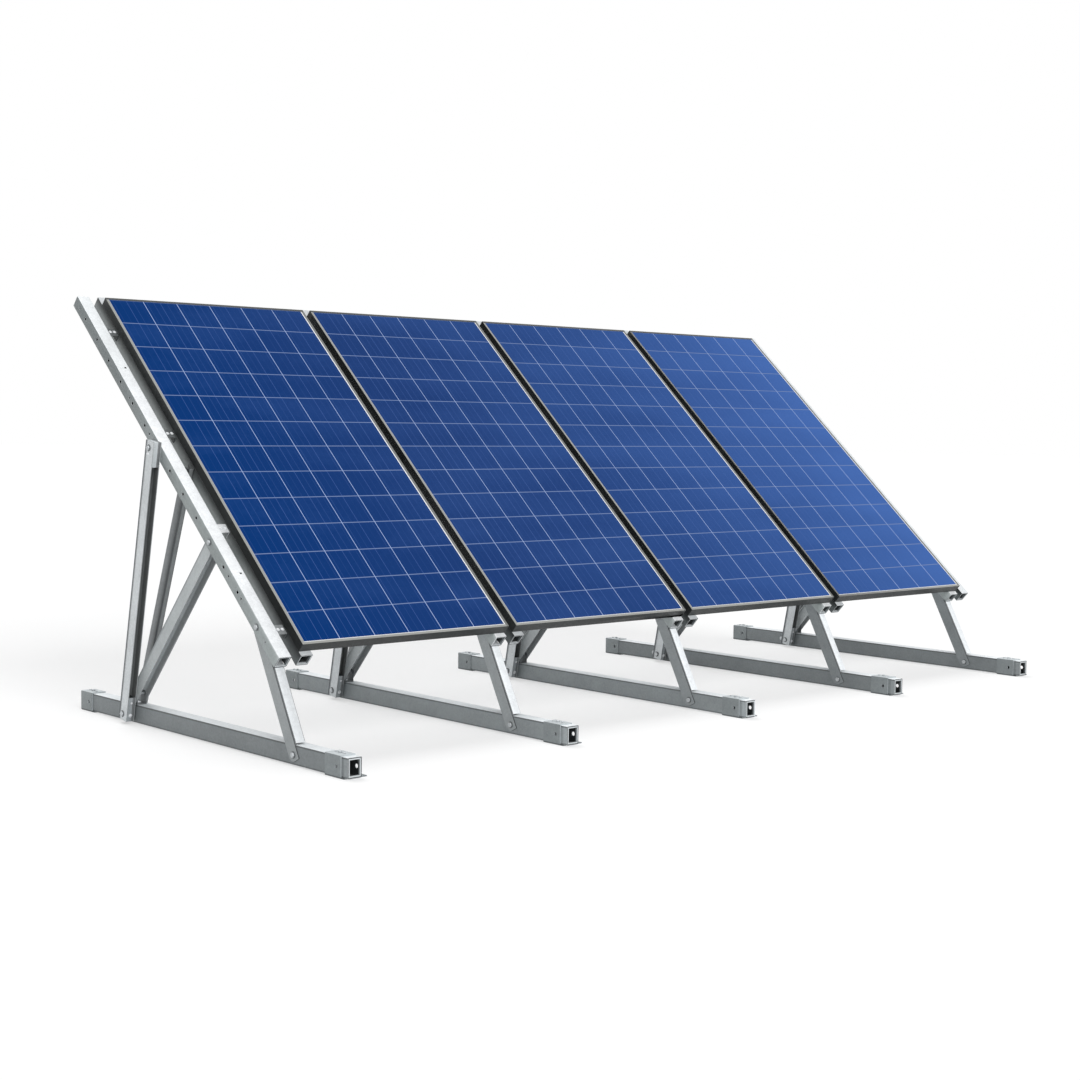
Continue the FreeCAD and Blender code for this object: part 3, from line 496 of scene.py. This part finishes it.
def makeCellMaterial():
    look = cellLook
    material, tree, shader = newMaterial("cellGlass")
    where = useGroup(tree, panelPlaceGroup)
    across = mathNode(tree, "SUBTRACT", where.outputs["Across"], look["lip"])
    up = mathNode(tree, "SUBTRACT", where.outputs["Up"], look["lip"])
    cellWide = (panelWidth - 2 * look["lip"]) / look["columns"]
    cellTall = (panelLength - 2 * look["lip"]) / look["rows"]

    def nearLine(distance, pitch, halfWidth, softness):
        # 1 on a line that repeats with the pitch, falling to 0 beside it
        wrapped = mathNode(tree, "PINGPONG", distance, pitch / 2)
        return remap(tree, wrapped, halfWidth - softness, halfWidth + softness, 1.0, 0.0)

    columnNumber = mathNode(tree, "FLOOR", mathNode(tree, "DIVIDE", across, cellWide))
    rowNumber = mathNode(tree, "FLOOR", mathNode(tree, "DIVIDE", up, cellTall))
    seed = addNode(tree, "ShaderNodeCombineXYZ")
    tree.links.new(columnNumber, seed.inputs[0])
    tree.links.new(rowNumber, seed.inputs[1])
    tree.links.new(where.outputs["Panel"], seed.inputs[2])
    chance = addNode(tree, "ShaderNodeTexWhiteNoise")
    tree.links.new(seed.outputs[0], chance.inputs["Vector"])

    # each cell has its own shade, a slow fade up its height, crystal grains and fine contact fingers
    inCell = mathNode(tree, "FRACT", mathNode(tree, "DIVIDE", up, cellTall))
    crystals = addNode(tree, "ShaderNodeTexVoronoi", "crystal grains", Scale=look["crystalScale"])
    tree.links.new(objectPlace(tree), crystals.inputs["Vector"])
    crystalTone = addNode(tree, "ShaderNodeSeparateColor")
    tree.links.new(crystals.outputs["Color"], crystalTone.inputs[0])
    # painted sheen: soft bands of paler and deeper blue across the panels
    sheen = addNode(tree, "ShaderNodeTexNoise", "sheen bands", Scale=1.0, Detail=1.0)
    bands = addNode(tree, "ShaderNodeCombineXYZ")
    tree.links.new(mathNode(tree, "MULTIPLY", where.outputs["Along"], look["sheenAcross"]), bands.inputs[0])
    tree.links.new(mathNode(tree, "MULTIPLY", up, look["sheenUp"]), bands.inputs[1])
    tree.links.new(bands.outputs[0], sheen.inputs["Vector"])
    sheenPart = remap(tree, sheen.outputs[0], *look["sheenSpan"], look["sheenLow"], look["sheenHigh"])

    # the blue grows paler along the row, a painted reflection, and a little painted reflection lies over the
    # first panel's right half
    spread = mathNode(tree, "POWER", where.outputs["Along"], look["spreadPower"])
    spread = mathNode(tree, "ADD", spread, sheenPart)
    for value, share in ((chance.outputs[0], "cellShare"), (inCell, "heightShare"),
                         (crystalTone.outputs[0], "crystalShare")):
        spread = mathNode(tree, "MULTIPLY_ADD", value, look[share], spread)
    spread = mathNode(tree, "SUBTRACT", spread, look["spreadDrop"], clamp=True)
    paintedReflection = remap(tree, where.outputs["Along"], 0.0, look["reflectionEnd"], 0.0, 1.0)
    deep = mixColour(tree, paintedReflection, look["leftBlue"], look["reflectedBlue"])
    blue = mixColour(tree, spread, deep, look["rightBlue"])
    fingers = nearLine(across, look["fingerPitch"], look["fingerHalfWidth"], look["fingerSoftness"])
    blue = mixColour(tree, mathNode(tree, "MULTIPLY", fingers, look["fingerStrength"]), blue, look["busbar"])

    # the middle busbar of each cell shows most, the others are faint and uneven
    busPitch = cellWide / look["busbars"]
    busNumber = mathNode(tree, "FLOOR", mathNode(tree, "DIVIDE", across, busPitch))
    busSeed = addNode(tree, "ShaderNodeTexWhiteNoise", noise_dimensions="1D")
    tree.links.new(busNumber, busSeed.inputs["W"])
    fromBus = mathNode(tree, "ADD", across, busPitch / 2)
    bus = nearLine(fromBus, busPitch, look["busbarHalfWidth"], look["busbarSoftness"])
    faint = remap(tree, busSeed.outputs[0], 0.0, 1.0, look["faintestBusbar"], look["faintBusbar"])
    fromMiddle = mathNode(tree, "PINGPONG", mathNode(tree, "ADD", across, cellWide / 2), cellWide / 2)
    inMiddle = mathNode(tree, "LESS_THAN", fromMiddle, busPitch / 2)
    busStrength = mathNode(tree, "MAXIMUM", faint, inMiddle)
    blue = mixColour(tree, mathNode(tree, "MULTIPLY", bus, busStrength), blue, look["busbar"])
    rowLine = nearLine(up, cellTall, look["rowHalfWidth"], look["rowSoftness"])
    blue = mixColour(tree, rowLine, blue, look["rowLine"])
    columnLine = nearLine(across, cellWide, look["columnHalfWidth"], look["columnSoftness"])
    blue = mixColour(tree, columnLine, blue, look["columnLine"])

    # a thin strip of back sheet shows past the cells at the right and at the low edge
    glassWide = panelWidth - 2 * look["lip"]
    right = mathNode(tree, "GREATER_THAN", across, glassWide - look["rightStrip"])
    low = mathNode(tree, "LESS_THAN", up, look["lowStrip"])
    strip = mathNode(tree, "MAXIMUM", right, low)
    front = mixColour(tree, strip, blue, look["backSheet"])
    left = remap(tree, across, look["leftStrip"], look["leftClear"], 0.0, look["leftStrength"])
    front = mixColour(tree, left, front, look["backSheet"])

    # the underside of the slab is the white back sheet
    facing = addNode(tree, "ShaderNodeVectorMath", operation="DOT_PRODUCT")
    tree.links.new(surfaceNormal(tree), facing.inputs[0])
    facing.inputs[1].default_value = slopeOut
    isFront = mathNode(tree, "GREATER_THAN", facing.outputs["Value"], 0.5)
    colour = mixColour(tree, isFront, look["backSheet"], front)
    tree.links.new(colour, shader.inputs["Base Color"])
    rough = remap(tree, isFront, 0, 1, look["backRoughness"], look["glassRoughness"])
    tree.links.new(rough, shader.inputs["Roughness"])
    tree.links.new(mathNode(tree, "MULTIPLY", isFront, look["coat"]), shader.inputs["Coat Weight"])
    shader.inputs["Coat Roughness"].default_value = look["coatRoughness"]
    shader.inputs["Specular IOR Level"].default_value = 0.0
    return material


anodisedLook = {
    "darkTone": (0.018, 0.020, 0.021), "paleTone": (0.036, 0.040, 0.040), "frontTone": (0.028, 0.031, 0.031),
    "lipHighlight": (0.30, 0.305, 0.29), "lipSpan": (-0.0010, -0.0002), "frontSpan": (-0.5, -0.75),
    "topWidth": 0.012, "topBar": 0.12, "rightWidth": 0.011, "rightBar": 0.5, "edgeSoftness": 0.0005,
    "grainScale": 90.0, "smoothest": 0.36, "roughest": 0.50, "metallic": 0.35,
}


def makeFrameMaterial():
    # dark anodised extrusion, with a painted highlight on the lip round the glass
    look = anodisedLook
    material, tree, shader = newMaterial("darkAnodised")
    where = useGroup(tree, panelPlaceGroup)
    grain = addNode(tree, "ShaderNodeTexNoise", Scale=look["grainScale"], Detail=3.0)
    tree.links.new(objectPlace(tree), grain.inputs["Vector"])
    lip = remap(tree, where.outputs["Out"], *look["lipSpan"], 0.0, 1.0)
    # the painted highlight is weaker on the lip of the top bar and on that of the right bar
    soft = look["edgeSoftness"]
    for way, start, bar in (("Up", panelLength - look["topWidth"], "topBar"),
                            ("Across", panelWidth - look["rightWidth"], "rightBar")):
        shade = remap(tree, where.outputs[way], start - soft, start + soft, 1.0, look[bar])
        lip = mathNode(tree, "MULTIPLY", lip, shade)
    facing = addNode(tree, "ShaderNodeSeparateXYZ")
    tree.links.new(surfaceNormal(tree), facing.inputs[0])
    front = remap(tree, facing.outputs[1], *look["frontSpan"], 0.0, 1.0)
    tone = mixColour(tree, grain.outputs[0], look["darkTone"], look["paleTone"])
    tone = mixColour(tree, front, tone, look["frontTone"])
    tone = mixColour(tree, lip, tone, look["lipHighlight"])
    tree.links.new(tone, shader.inputs["Base Color"])
    rough = remap(tree, grain.outputs[0], *noiseSpan, look["smoothest"], look["roughest"])
    tree.links.new(rough, shader.inputs["Roughness"])
    shader.inputs["Metallic"].default_value = look["metallic"]
    return material


plasticLook = {"darkTone": (0.016, 0.016, 0.017), "paleTone": (0.03, 0.03, 0.031), "grainScale": 700.0,
               "smoothest": 0.42, "roughest": 0.58, "bump": 0.15, "bumpDistance": 0.0003}


def makePlastic():
    # moulded black plastic with a fine grain
    look = plasticLook
    material, tree, shader = newMaterial("blackPlastic")
    grain = addNode(tree, "ShaderNodeTexNoise", Scale=look["grainScale"], Detail=2.0)
    tree.links.new(objectPlace(tree), grain.inputs["Vector"])
    tone = mixColour(tree, grain.outputs[0], look["darkTone"], look["paleTone"])
    tree.links.new(tone, shader.inputs["Base Color"])
    rough = remap(tree, grain.outputs[0], *noiseSpan, look["smoothest"], look["roughest"])
    tree.links.new(rough, shader.inputs["Roughness"])
    addBump(tree, shader, grain.outputs[0], look)
    return material


cellGlass = makeCellMaterial()
darkAnodised = makeFrameMaterial()
blackPlastic = makePlastic()
print("materials made")


# each member's tone, the painted shade inside it, its wall and the width of its rolled edges
memberLooks = {
    "base_beam": ("beam", "inside", 0.004, 0.0006),
    "rear_post": ("post", "postInside", 0.003, 0.0007),
    "second_post": ("second", "inside", 0.003, 0.0007),
    "rear_brace": ("brace", "braceInside", 0.003, 0.0007),
    "front_leg": ("leg", "inside", 0.003, 0.0012),
    "left_rail": ("leftRail", "railInside", 0.0025, 0.0007),
    "right_rail": ("rightRail", "railInside", 0.0025, 0.0007),
}
# the skin and the edge width of the small sheet pieces
groupLooks = {
    "front_feet": ("sheet", 0.0009), "rear_feet": ("sheet", 0.0009), "post_inserts": ("insert", 0.0006),
    "brace_brackets": ("bracket", 0.0006), "rail_links": ("link", 0.0009), "spacers": ("washer", 0.0006),
}
edgeWidths = {"panelFrame": 0.0004, "junctionBox": 0.0015}
wallShare = 0.7  # faces deeper in a member than this share of its wall are inside it
# the square holes lie this far under the glass and left of the frame's middle
spareHoles = {"side": 0.009, "through": 0.006, "drop": 0.067, "face": 0.074,
              "stations": (0.080, 0.297, 0.413, 1.190, 1.403, 1.957)}
tongueLook = {"top": 0.076, "sideways": 0.95}  # the leg's tongue lies below the beam's top
insertShadeStart = 0.0885  # left of the frame's middle


def dressNode(nodeName, material, width, slotName):
    # a CAD member with its sharp edges rolled and its bends shaded round
    copy = copyNode(nodeName)
    bevelPiece(copy, width)
    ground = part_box(nodeName)[0].z  # no rolled edge dips below the node's own lowest point
    for vertex in copy.data.vertices:
        vertex.co.z = max(vertex.co.z, ground)
    smoothPiece(copy)
    finishPiece(copy, nodeName + "_shown", material, slotName, nodeName)
    return copy


def darkenInside(obj, nodeName, material, wall):
    # the faces inside a hollow member take the darker tone: painted shade
    across, rangeLow, rangeHigh = memberSection(obj.data)
    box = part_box(nodeName)
    obj.data.materials.append(material)
    inset = wall * wallShare
    for face in obj.data.polygons:
        depth = across.dot(face.center)
        inDepth = rangeLow + inset < depth < rangeHigh - inset
        if inDepth and box[0].x + inset < face.center.x < box[1].x - inset:
            face.material_index = 1


def shadeTongue(obj):
    # the edge of the leg's tongue beside the beam takes the dark tone: painted shade
    for face in obj.data.polygons:
        if face.center.z < tongueLook["top"] and abs(face.normal.x) < tongueLook["sideways"]:
            face.material_index = 1


def shadeInserts(obj):
    # the right part of each post insert lies back in shade
    obj.data.materials.append(zincs["insertShade"])
    for middle in frameMiddles:
        makeActive(obj)
        bpy.ops.object.mode_set(mode="EDIT")
        bpy.ops.mesh.select_all(action="SELECT")
        bpy.ops.mesh.bisect(plane_co=(middle - insertShadeStart, 0, 0), plane_no=(1, 0, 0))
        bpy.ops.object.mode_set(mode="OBJECT")
    for face in obj.data.polygons:
        number = round((face.center.x + insertShadeStart - frameMiddles[0]) / framePitch)
        if face.center.x > frameMiddles[number] - insertShadeStart:
            face.material_index = 1


def drillSpareHoles(obj, middle):
    # small punched holes between the bolt holes on the left wall of a left rail
    cutters = []
    for station in spareHoles["stations"]:
        bpy.ops.mesh.primitive_cube_add(size=1, rotation=(tilt, 0, 0))
        cutter = bpy.context.object
        cutter.scale = (spareHoles["through"], spareHoles["side"], spareHoles["side"])
        cutter.location = lowEdge + slopeUp * station - slopeOut * spareHoles["drop"]
        cutter.location.x = middle - spareHoles["face"]
        applyPlace(cutter)
        cutters.append(cutter)
    cutter = joinAll(cutters, "spareHoleCutter")
    drill = obj.modifiers.new("spare holes", "BOOLEAN")
    drill.object = cutter
    drill.solver = "EXACT"
    applyModifiers(obj)
    bpy.data.objects.remove(cutter, do_unlink=True)


linkBoxes = islandBoxes("rail_links")
for kind, (look, insideLook, wall, width) in memberLooks.items():
    for number in range(1, frameCount + 1):
        nodeName = f"{kind}_{number}"
        member = dressNode(nodeName, zincs[look], width, "galvanised_steel")
        if kind == "left_rail":
            drillSpareHoles(member, frameMiddles[number - 1])
        darkenInside(member, nodeName, zincs[insideLook], wall)
        if kind == "front_leg":
            shadeTongue(member)
for nodeName, (look, width) in groupLooks.items():
    slotName = "zinc_fixings" if nodeName == "spacers" else "galvanised_steel"
    sheet = dressNode(nodeName, zincs[look], width, slotName)
    if nodeName == "post_inserts":
        shadeInserts(sheet)
print("steel members done")

for number in range(1, panelCount + 1):
    dressNode(f"panel_frame_{number}", darkAnodised, edgeWidths["panelFrame"], "dark_frame")
    nodes[f"panel_laminate_{number}"].data.materials.clear()
    nodes[f"panel_laminate_{number}"].data.materials.append(cellGlass)
    dressNode(f"junction_box_{number}", blackPlastic, edgeWidths["junctionBox"], "black_plastic")
print("panels done")


boltBoxes = {name: islandBoxes(name) for name in ("upper_bolts", "lower_bolts")}
boltLook = {"flats": 0.0182, "washer": 0.0135, "washerHeight": 0.0016, "block": 0.0075, "shank": 0.0060,
            "shankInset": 0.001, "thinBlock": 0.0025, "thinWasher": 0.0006, "thinAbove": 0.10,
            "thinBelow": 0.14}


def standingBlock(name, sides, radius, height, base, width, segments=1):
    # on the Z axis from base up, with its rims rolled
    bpy.ops.mesh.primitive_cylinder_add(vertices=sides, radius=radius, depth=height,
                                        location=(0, 0, base + height / 2))
    block = bpy.context.object
    block.name = name
    applyPlace(block)
    bevelPiece(block, width, segments, angle=30)
    return block


def hexagonBlock(name, flats, height, base):
    return standingBlock(name, 6, flats / math.sqrt(3), height, base, min(0.0008, height / 4), segments=2)


def roundBlock(name, radius, height, base, width=0.0003):
    return standingBlock(name, 20, radius, height, base, width)


def makeCrossBolts(nodeName):
    # hexagon head and nut with washers, on the places of the CAD bolts
    look = boltLook
    turned = Matrix.Rotation(math.pi / 2, 4, "Y")
    bolts, washers = [], []
    for low, high in boltBoxes[nodeName]:
        centre = (low + high) / 2
        span = high.x - low.x
        # the brace's foot bolt has a thin head, told by its height over the beam
        thin = look["thinAbove"] < centre.z < look["thinBelow"]
        block = look["thinBlock"] if thin else look["block"]
        washer = look["thinWasher"] if thin else look["washerHeight"]
        place = Matrix.Translation((low.x, centre.y, centre.z)) @ turned
        bolt = joinAll([hexagonBlock("head", look["flats"], block - washer, 0),
                        roundBlock("shank", look["shank"], span - 2 * look["shankInset"], look["shankInset"]),
                        hexagonBlock("nut", look["flats"], block - washer, span - block + washer)], "bolt")
        pair = joinAll([roundBlock(name, look["washer"], washer, base, width=washer / 4)
                        for name, base in (("washer", block - washer), ("farWasher", span - block))], "pair")
        for part, group in ((bolt, bolts), (pair, washers)):
            part.data.transform(place)
            group.append(part)
    for parts, ending, skin in ((bolts, "_shown", "bolt"), (washers, "_washers", "washer")):
        joined = joinAll(parts, nodeName + ending)
        shadeRound(joined)
        finishPiece(joined, nodeName + ending, zincs[skin], "zinc_fixings")
    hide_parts(nodeName)


makeCrossBolts("upper_bolts")
makeCrossBolts("lower_bolts")
print("cross bolts done")


smallWasher = 0.0013


def makeSmallBolt(flats, height, washer):
    # small bolt head with its washer, standing on Z = 0
    bolt = joinAll([roundBlock("washer", washer, smallWasher, 0),
                    hexagonBlock("head", flats, height, smallWasher)], "smallBolt")
    shadeRound(bolt)
    return bolt


def placeBolts(model, places, name, look="bolt"):
    # one piece of zinc fixings from a model bolt and its places
    finishPiece(pasteCopies(model, places, name), name, zincs[look], "zinc_fixings")


sleeveLook = {"toe": 0.015, "left": 0.040, "step": 0.026, "sink": 0.0001,
              "large": (0.013, 0.0055, 0.0095), "small": (0.008, 0.003, 0.0058)}


def makeSleeveBolts():
    # three bolts in a row on the flap of each foot sleeve, the middle one larger
    look = sleeveLook
    frontLow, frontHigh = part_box("front_feet")
    rearLow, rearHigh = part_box("rear_feet")
    large, small = [], []
    for middle in frameMiddles:
        for low, high in ((frontLow, frontHigh), (rearLow, rearHigh)):
            along = (low.y + look["toe"] + high.y) / 2
            centre = Vector((middle - look["left"], along, high.z - look["sink"]))
            large.append(Matrix.Translation(centre))
            for step in (-look["step"], look["step"]):
                small.append(Matrix.Translation(centre + Vector((0, step, 0))))
    placeBolts(makeSmallBolt(*look["large"]), large, "sleeve_bolts")
    placeBolts(makeSmallBolt(*look["small"]), small, "sleeve_screws")


panelBoltLook = {"side": 0.018, "end": 0.4, "drop": 0.038, "size": (0.013, 0.0055, 0.009)}


def makePanelBolts():
    # on the lower flange of the panel frames, over the rails
    look = panelBoltLook
    places = []
    lean = Matrix.Rotation(tilt, 4, "X")
    for number in range(panelCount):
        for across in (look["side"], panelWidth - look["side"]):
            for up in (look["end"], panelLength - look["end"]):
                spot = lowEdge + slopeUp * up - slopeOut * look["drop"]
                spot.x += number * framePitch + across
                places.append(Matrix.Translation(spot) @ lean)
    placeBolts(makeSmallBolt(*look["size"]), places, "panel_bolts")


domeLook = {"segments": 20, "ring_count": 12}
domeSink = 0.0003


def makeDomeBolt(radius, height, washer):
    # round bolt head on its washer, standing on Z = 0
    bpy.ops.mesh.primitive_uv_sphere_add(radius=radius, **domeLook)
    dome = bpy.context.object
    bpy.ops.object.mode_set(mode="EDIT")
    bpy.ops.mesh.select_all(action="SELECT")
    bpy.ops.mesh.bisect(plane_co=(0, 0, 0), plane_no=(0, 0, 1), clear_inner=True, use_fill=True)
    bpy.ops.object.mode_set(mode="OBJECT")
    dome.scale = (1, 1, height / radius)
    dome.location = (0, 0, smallWasher - domeSink)
    applyPlace(dome)
    bolt = joinAll([roundBlock("washer", washer, smallWasher, 0), dome], "domeBolt")
    shadeRound(bolt, 40)
    return bolt


# radius, height and washer radius of the round bolts
postBoltLook = {"foot": (0.0062, 0.0045, 0.0080), "rivet": (0.0038, 0.0025, 0.0046),
                "head": (0.0055, 0.0045, 0.0072), "rivetUp": 0.052, "headDown": 0.024, "headBack": 0.003,
                "headAbove": 1.08, "footSpan": 0.1, "footRight": 0.018, "proud": 0.001}


def makePostBolts():
    # on the front of each post's foot: a round bolt and a rivet over it
    # on the left face of each post's head: a second, smaller bolt under the first
    look = postBoltLook
    up = Vector((0, -postAcross.z, postAcross.y))
    feet = [box for box in boltBoxes["lower_bolts"] if box[1].x - box[0].x > look["footSpan"]]
    heads = [box for box in boltBoxes["upper_bolts"] if (box[0].z + box[1].z) / 2 > look["headAbove"]]
    front = (-postAcross).to_track_quat("Z", "Y").to_matrix().to_4x4()
    bolts, rivets, smallBolts = [], [], []
    for low, high in feet:
        centre = (low + high) / 2
        spot = Vector((low.x + boltLook["block"] + look["footRight"], centre.y, centre.z))
        spot += postAcross * (postFront + look["proud"] - postAcross.dot(spot))
        bolts.append(Matrix.Translation(spot) @ front)
        rivets.append(Matrix.Translation(spot + up * look["rivetUp"]) @ front)
    left = Matrix.Rotation(-math.pi / 2, 4, "Y")
    for low, high in heads:
        centre = (low + high) / 2
        spot = Vector((low.x + boltLook["block"], centre.y, centre.z))
        spot += postAcross * look["headBack"] - up * look["headDown"]
        smallBolts.append(Matrix.Translation(spot) @ left)
    placeBolts(makeDomeBolt(*look["foot"]), bolts, "post_foot_bolts", "brightBolt")
    placeBolts(makeDomeBolt(*look["rivet"]), rivets, "post_foot_rivets", "brightBolt")
    placeBolts(makeDomeBolt(*look["head"]), smallBolts, "post_head_bolts", "brightBolt")


# the walls of the two rims, and how much smaller each is than its member's outside
rimLook = {"beam": 0.0050, "rail": 0.0030, "depth": 0.010, "setback": 0.0002, "edge": 0.0009,
           "beamInset": 0.0080, "railInset": 0.0050}


def makeRim(width, height, wall):
    # square rim standing in the XZ plane round the origin, its front just behind Y = 0
    bpy.ops.mesh.primitive_cube_add(size=1, location=(0, rimLook["depth"] / 2 + rimLook["setback"], 0))
    rim = bpy.context.object
    rim.scale = (width, rimLook["depth"], height)
    applyPlace(rim)
    bpy.ops.object.mode_set(mode="EDIT")
    bpy.ops.mesh.select_mode(type="FACE")
    bpy.ops.mesh.select_all(action="DESELECT")
    bpy.ops.object.mode_set(mode="OBJECT")
    for face in rim.data.polygons:
        face.select = abs(face.normal.y) > 0.5
    bpy.ops.object.mode_set(mode="EDIT")
    bpy.ops.mesh.delete(type="FACE")
    bpy.ops.object.mode_set(mode="OBJECT")
    thickness = rim.modifiers.new("wall", "SOLIDIFY")
    thickness.thickness = wall
    thickness.offset = -1
    thickness.use_even_offset = True
    applyModifiers(rim)
    bevelPiece(rim, rimLook["edge"], segments=2)
    smoothPiece(rim)
    return rim


def makeEndRims():
    # the open ends of base tubes and rails are turned in to a thicker square rim
    halfTurn = Matrix.Rotation(math.pi, 4, "Z")
    places = []
    for number in range(1, frameCount + 1):
        low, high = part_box(f"base_beam_{number}")
        middle = (low + high) / 2
        places.append(Matrix.Translation((middle.x, low.y, middle.z)))
        places.append(Matrix.Translation((middle.x, high.y, middle.z)) @ halfTurn)
    size = high - low
    rim = makeRim(size.x - rimLook["beamInset"], size.z - rimLook["beamInset"], rimLook["beam"])
    rims = pasteCopies(rim, places, "beam_end_rims")
    finishPiece(rims, "beam_end_rims", zincs["mouth"], "galvanised_steel")

    # the rails' end faces are square to the slope, so their rims lean with it
    lean = Matrix.Rotation(tilt, 4, "X")
    places = []
    for number in range(1, frameCount + 1):
        for kind in ("left_rail", "right_rail"):
            low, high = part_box(f"{kind}_{number}")
            middle = (low.x + high.x) / 2
            points = [vertex.co for vertex in nodes[f"{kind}_{number}"].data.vertices]
            lowUp, highUp = (limit(slopeUp.dot(point) for point in points) for limit in (min, max))
            out = sum(limit(slopeOut.dot(point) for point in points) for limit in (min, max)) / 2
            spot = Vector((middle, 0, 0)) + slopeOut * out
            places.append(Matrix.Translation(spot + slopeUp * lowUp) @ lean)
            places.append(Matrix.Translation(spot + slopeUp * highUp) @ lean @ halfTurn)
    width = high.x - low.x - rimLook["railInset"]
    rims = pasteCopies(makeRim(width, width, rimLook["rail"]), places, "rail_end_rims")
    finishPiece(rims, "rail_end_rims", zincs["mouth"], "galvanised_steel")


linkLook = {"size": (0.0050, 0.0035, 0.0072), "spread": 0.0095}


def makeLinkBolts():
    # two round bolts side by side on the top of each link
    lean = Matrix.Rotation(tilt, 4, "X")
    linkTop = max(slopeOut.dot(vertex.co) for vertex in nodes["rail_links"].data.vertices)
    places = []
    for low, high in linkBoxes:
        centre = (low + high) / 2
        for side in (-linkLook["spread"], linkLook["spread"]):
            spot = Vector((centre.x + side, 0, 0)) + slopeUp * slopeUp.dot(centre) + slopeOut * linkTop
            places.append(Matrix.Translation(spot) @ lean)
    placeBolts(makeDomeBolt(*linkLook["size"]), places, "link_bolts", "brightBolt")


makeSleeveBolts()
makePanelBolts()
makePostBolts()
makeLinkBolts()
makeEndRims()
print("small bolts done")


floorLook = {"side": 120, "seen": 0.50, "lift": 0.50, "real": 0.85}
lightLook = {
    "fill": 0.36, "fillColour": (0.98, 0.99, 1.0, 1),
    "front": {"azimuth": -4, "elevation": 34, "strength": 1.85, "softness": 35},
    "back": {"azimuth": 176, "elevation": 62, "strength": 1.33, "softness": 35},
}
cameraLook = {"place": (-5.6858, -5.878, 1.243), "heading": 42.234, "down": 3.836, "roll": 0.799,
              "focalPixels": 1773.6, "picturePixels": 1080, "sensor": 36, "farthest": 200}


def seenRays(tree):
    # 1 where the background is seen straight, in a reflection or through glass
    rays = tree.nodes.new("ShaderNodeLightPath")
    seen = mathNode(tree, "MAXIMUM", rays.outputs["Is Camera Ray"], rays.outputs["Is Glossy Ray"])
    return mathNode(tree, "MAXIMUM", seen, rays.outputs["Is Transmission Ray"])


def makeFloor():
    bpy.ops.mesh.primitive_plane_add(size=floorLook["side"], location=(0, 0, 0))
    floor = bpy.context.object
    floor.name = "floor"
    material = bpy.data.materials.new("whiteFloor")
    material.use_nodes = True
    tree = material.node_tree
    tree.nodes.clear()
    # what is seen is white with a faint shadow, all other light meets a plain white floor
    real = addNode(tree, "ShaderNodeBsdfDiffuse", Color=(floorLook["real"],) * 3 + (1,))
    matte = addNode(tree, "ShaderNodeBsdfDiffuse", Color=(floorLook["seen"],) * 3 + (1,))
    lift = addNode(tree, "ShaderNodeEmission", Color=(1, 1, 1, 1), Strength=floorLook["lift"])
    both = tree.nodes.new("ShaderNodeAddShader")
    tree.links.new(matte.outputs[0], both.inputs[0])
    tree.links.new(lift.outputs[0], both.inputs[1])
    mix = tree.nodes.new("ShaderNodeMixShader")
    tree.links.new(seenRays(tree), mix.inputs[0])
    tree.links.new(real.outputs[0], mix.inputs[1])
    tree.links.new(both.outputs[0], mix.inputs[2])
    output = tree.nodes.new("ShaderNodeOutputMaterial")
    tree.links.new(mix.outputs[0], output.inputs["Surface"])
    floor.data.materials.append(material)


def makeWorld():
    world = bpy.data.worlds.new("studio")
    scene.world = world
    world.use_nodes = True
    tree = world.node_tree
    tree.nodes.clear()
    fill = addNode(tree, "ShaderNodeBackground", Color=lightLook["fillColour"], Strength=lightLook["fill"])
    white = addNode(tree, "ShaderNodeBackground", Color=(1, 1, 1, 1), Strength=1.0)
    mix = tree.nodes.new("ShaderNodeMixShader")
    output = tree.nodes.new("ShaderNodeOutputWorld")
    tree.links.new(seenRays(tree), mix.inputs[0])
    tree.links.new(fill.outputs[0], mix.inputs[1])
    tree.links.new(white.outputs[0], mix.inputs[2])
    tree.links.new(mix.outputs[0], output.inputs["Surface"])


def makeSun(name, azimuth, elevation, strength, softness):
    # azimuth 0 shines from the front, 90 from the right
    data = bpy.data.lights.new(name, "SUN")
    data.energy = strength
    data.angle = math.radians(softness)
    lamp = bpy.data.objects.new(name, data)
    scene.collection.objects.link(lamp)
    around, above = math.radians(azimuth), math.radians(elevation)
    level = math.cos(above)
    toLight = Vector((math.sin(around) * level, -math.cos(around) * level, math.sin(above)))
    lamp.rotation_mode = "QUATERNION"
    lamp.rotation_quaternion = toLight.to_track_quat("Z", "Y")


def makeCamera():
    data = bpy.data.cameras.new("camera")
    data.sensor_width = cameraLook["sensor"]
    data.lens = cameraLook["focalPixels"] * cameraLook["sensor"] / cameraLook["picturePixels"]
    data.clip_end = cameraLook["farthest"]
    camera = bpy.data.objects.new("camera", data)
    scene.collection.objects.link(camera)
    camera.location = cameraLook["place"]
    heading, down, roll = (math.radians(cameraLook[key]) for key in ("heading", "down", "roll"))
    level = Matrix.Rotation(-heading, 3, "Z") @ Matrix.Rotation(math.pi / 2 - down, 3, "X")
    camera.rotation_mode = "QUATERNION"
    camera.rotation_quaternion = (level @ Matrix.Rotation(roll, 3, "Z")).to_quaternion()
    scene.camera = camera


makeFloor()
makeWorld()
makeSun("frontLight", **lightLook["front"])
makeSun("backLight", **lightLook["back"])
makeCamera()
scene.view_settings.view_transform = "Standard"
print("floor, light and camera done")
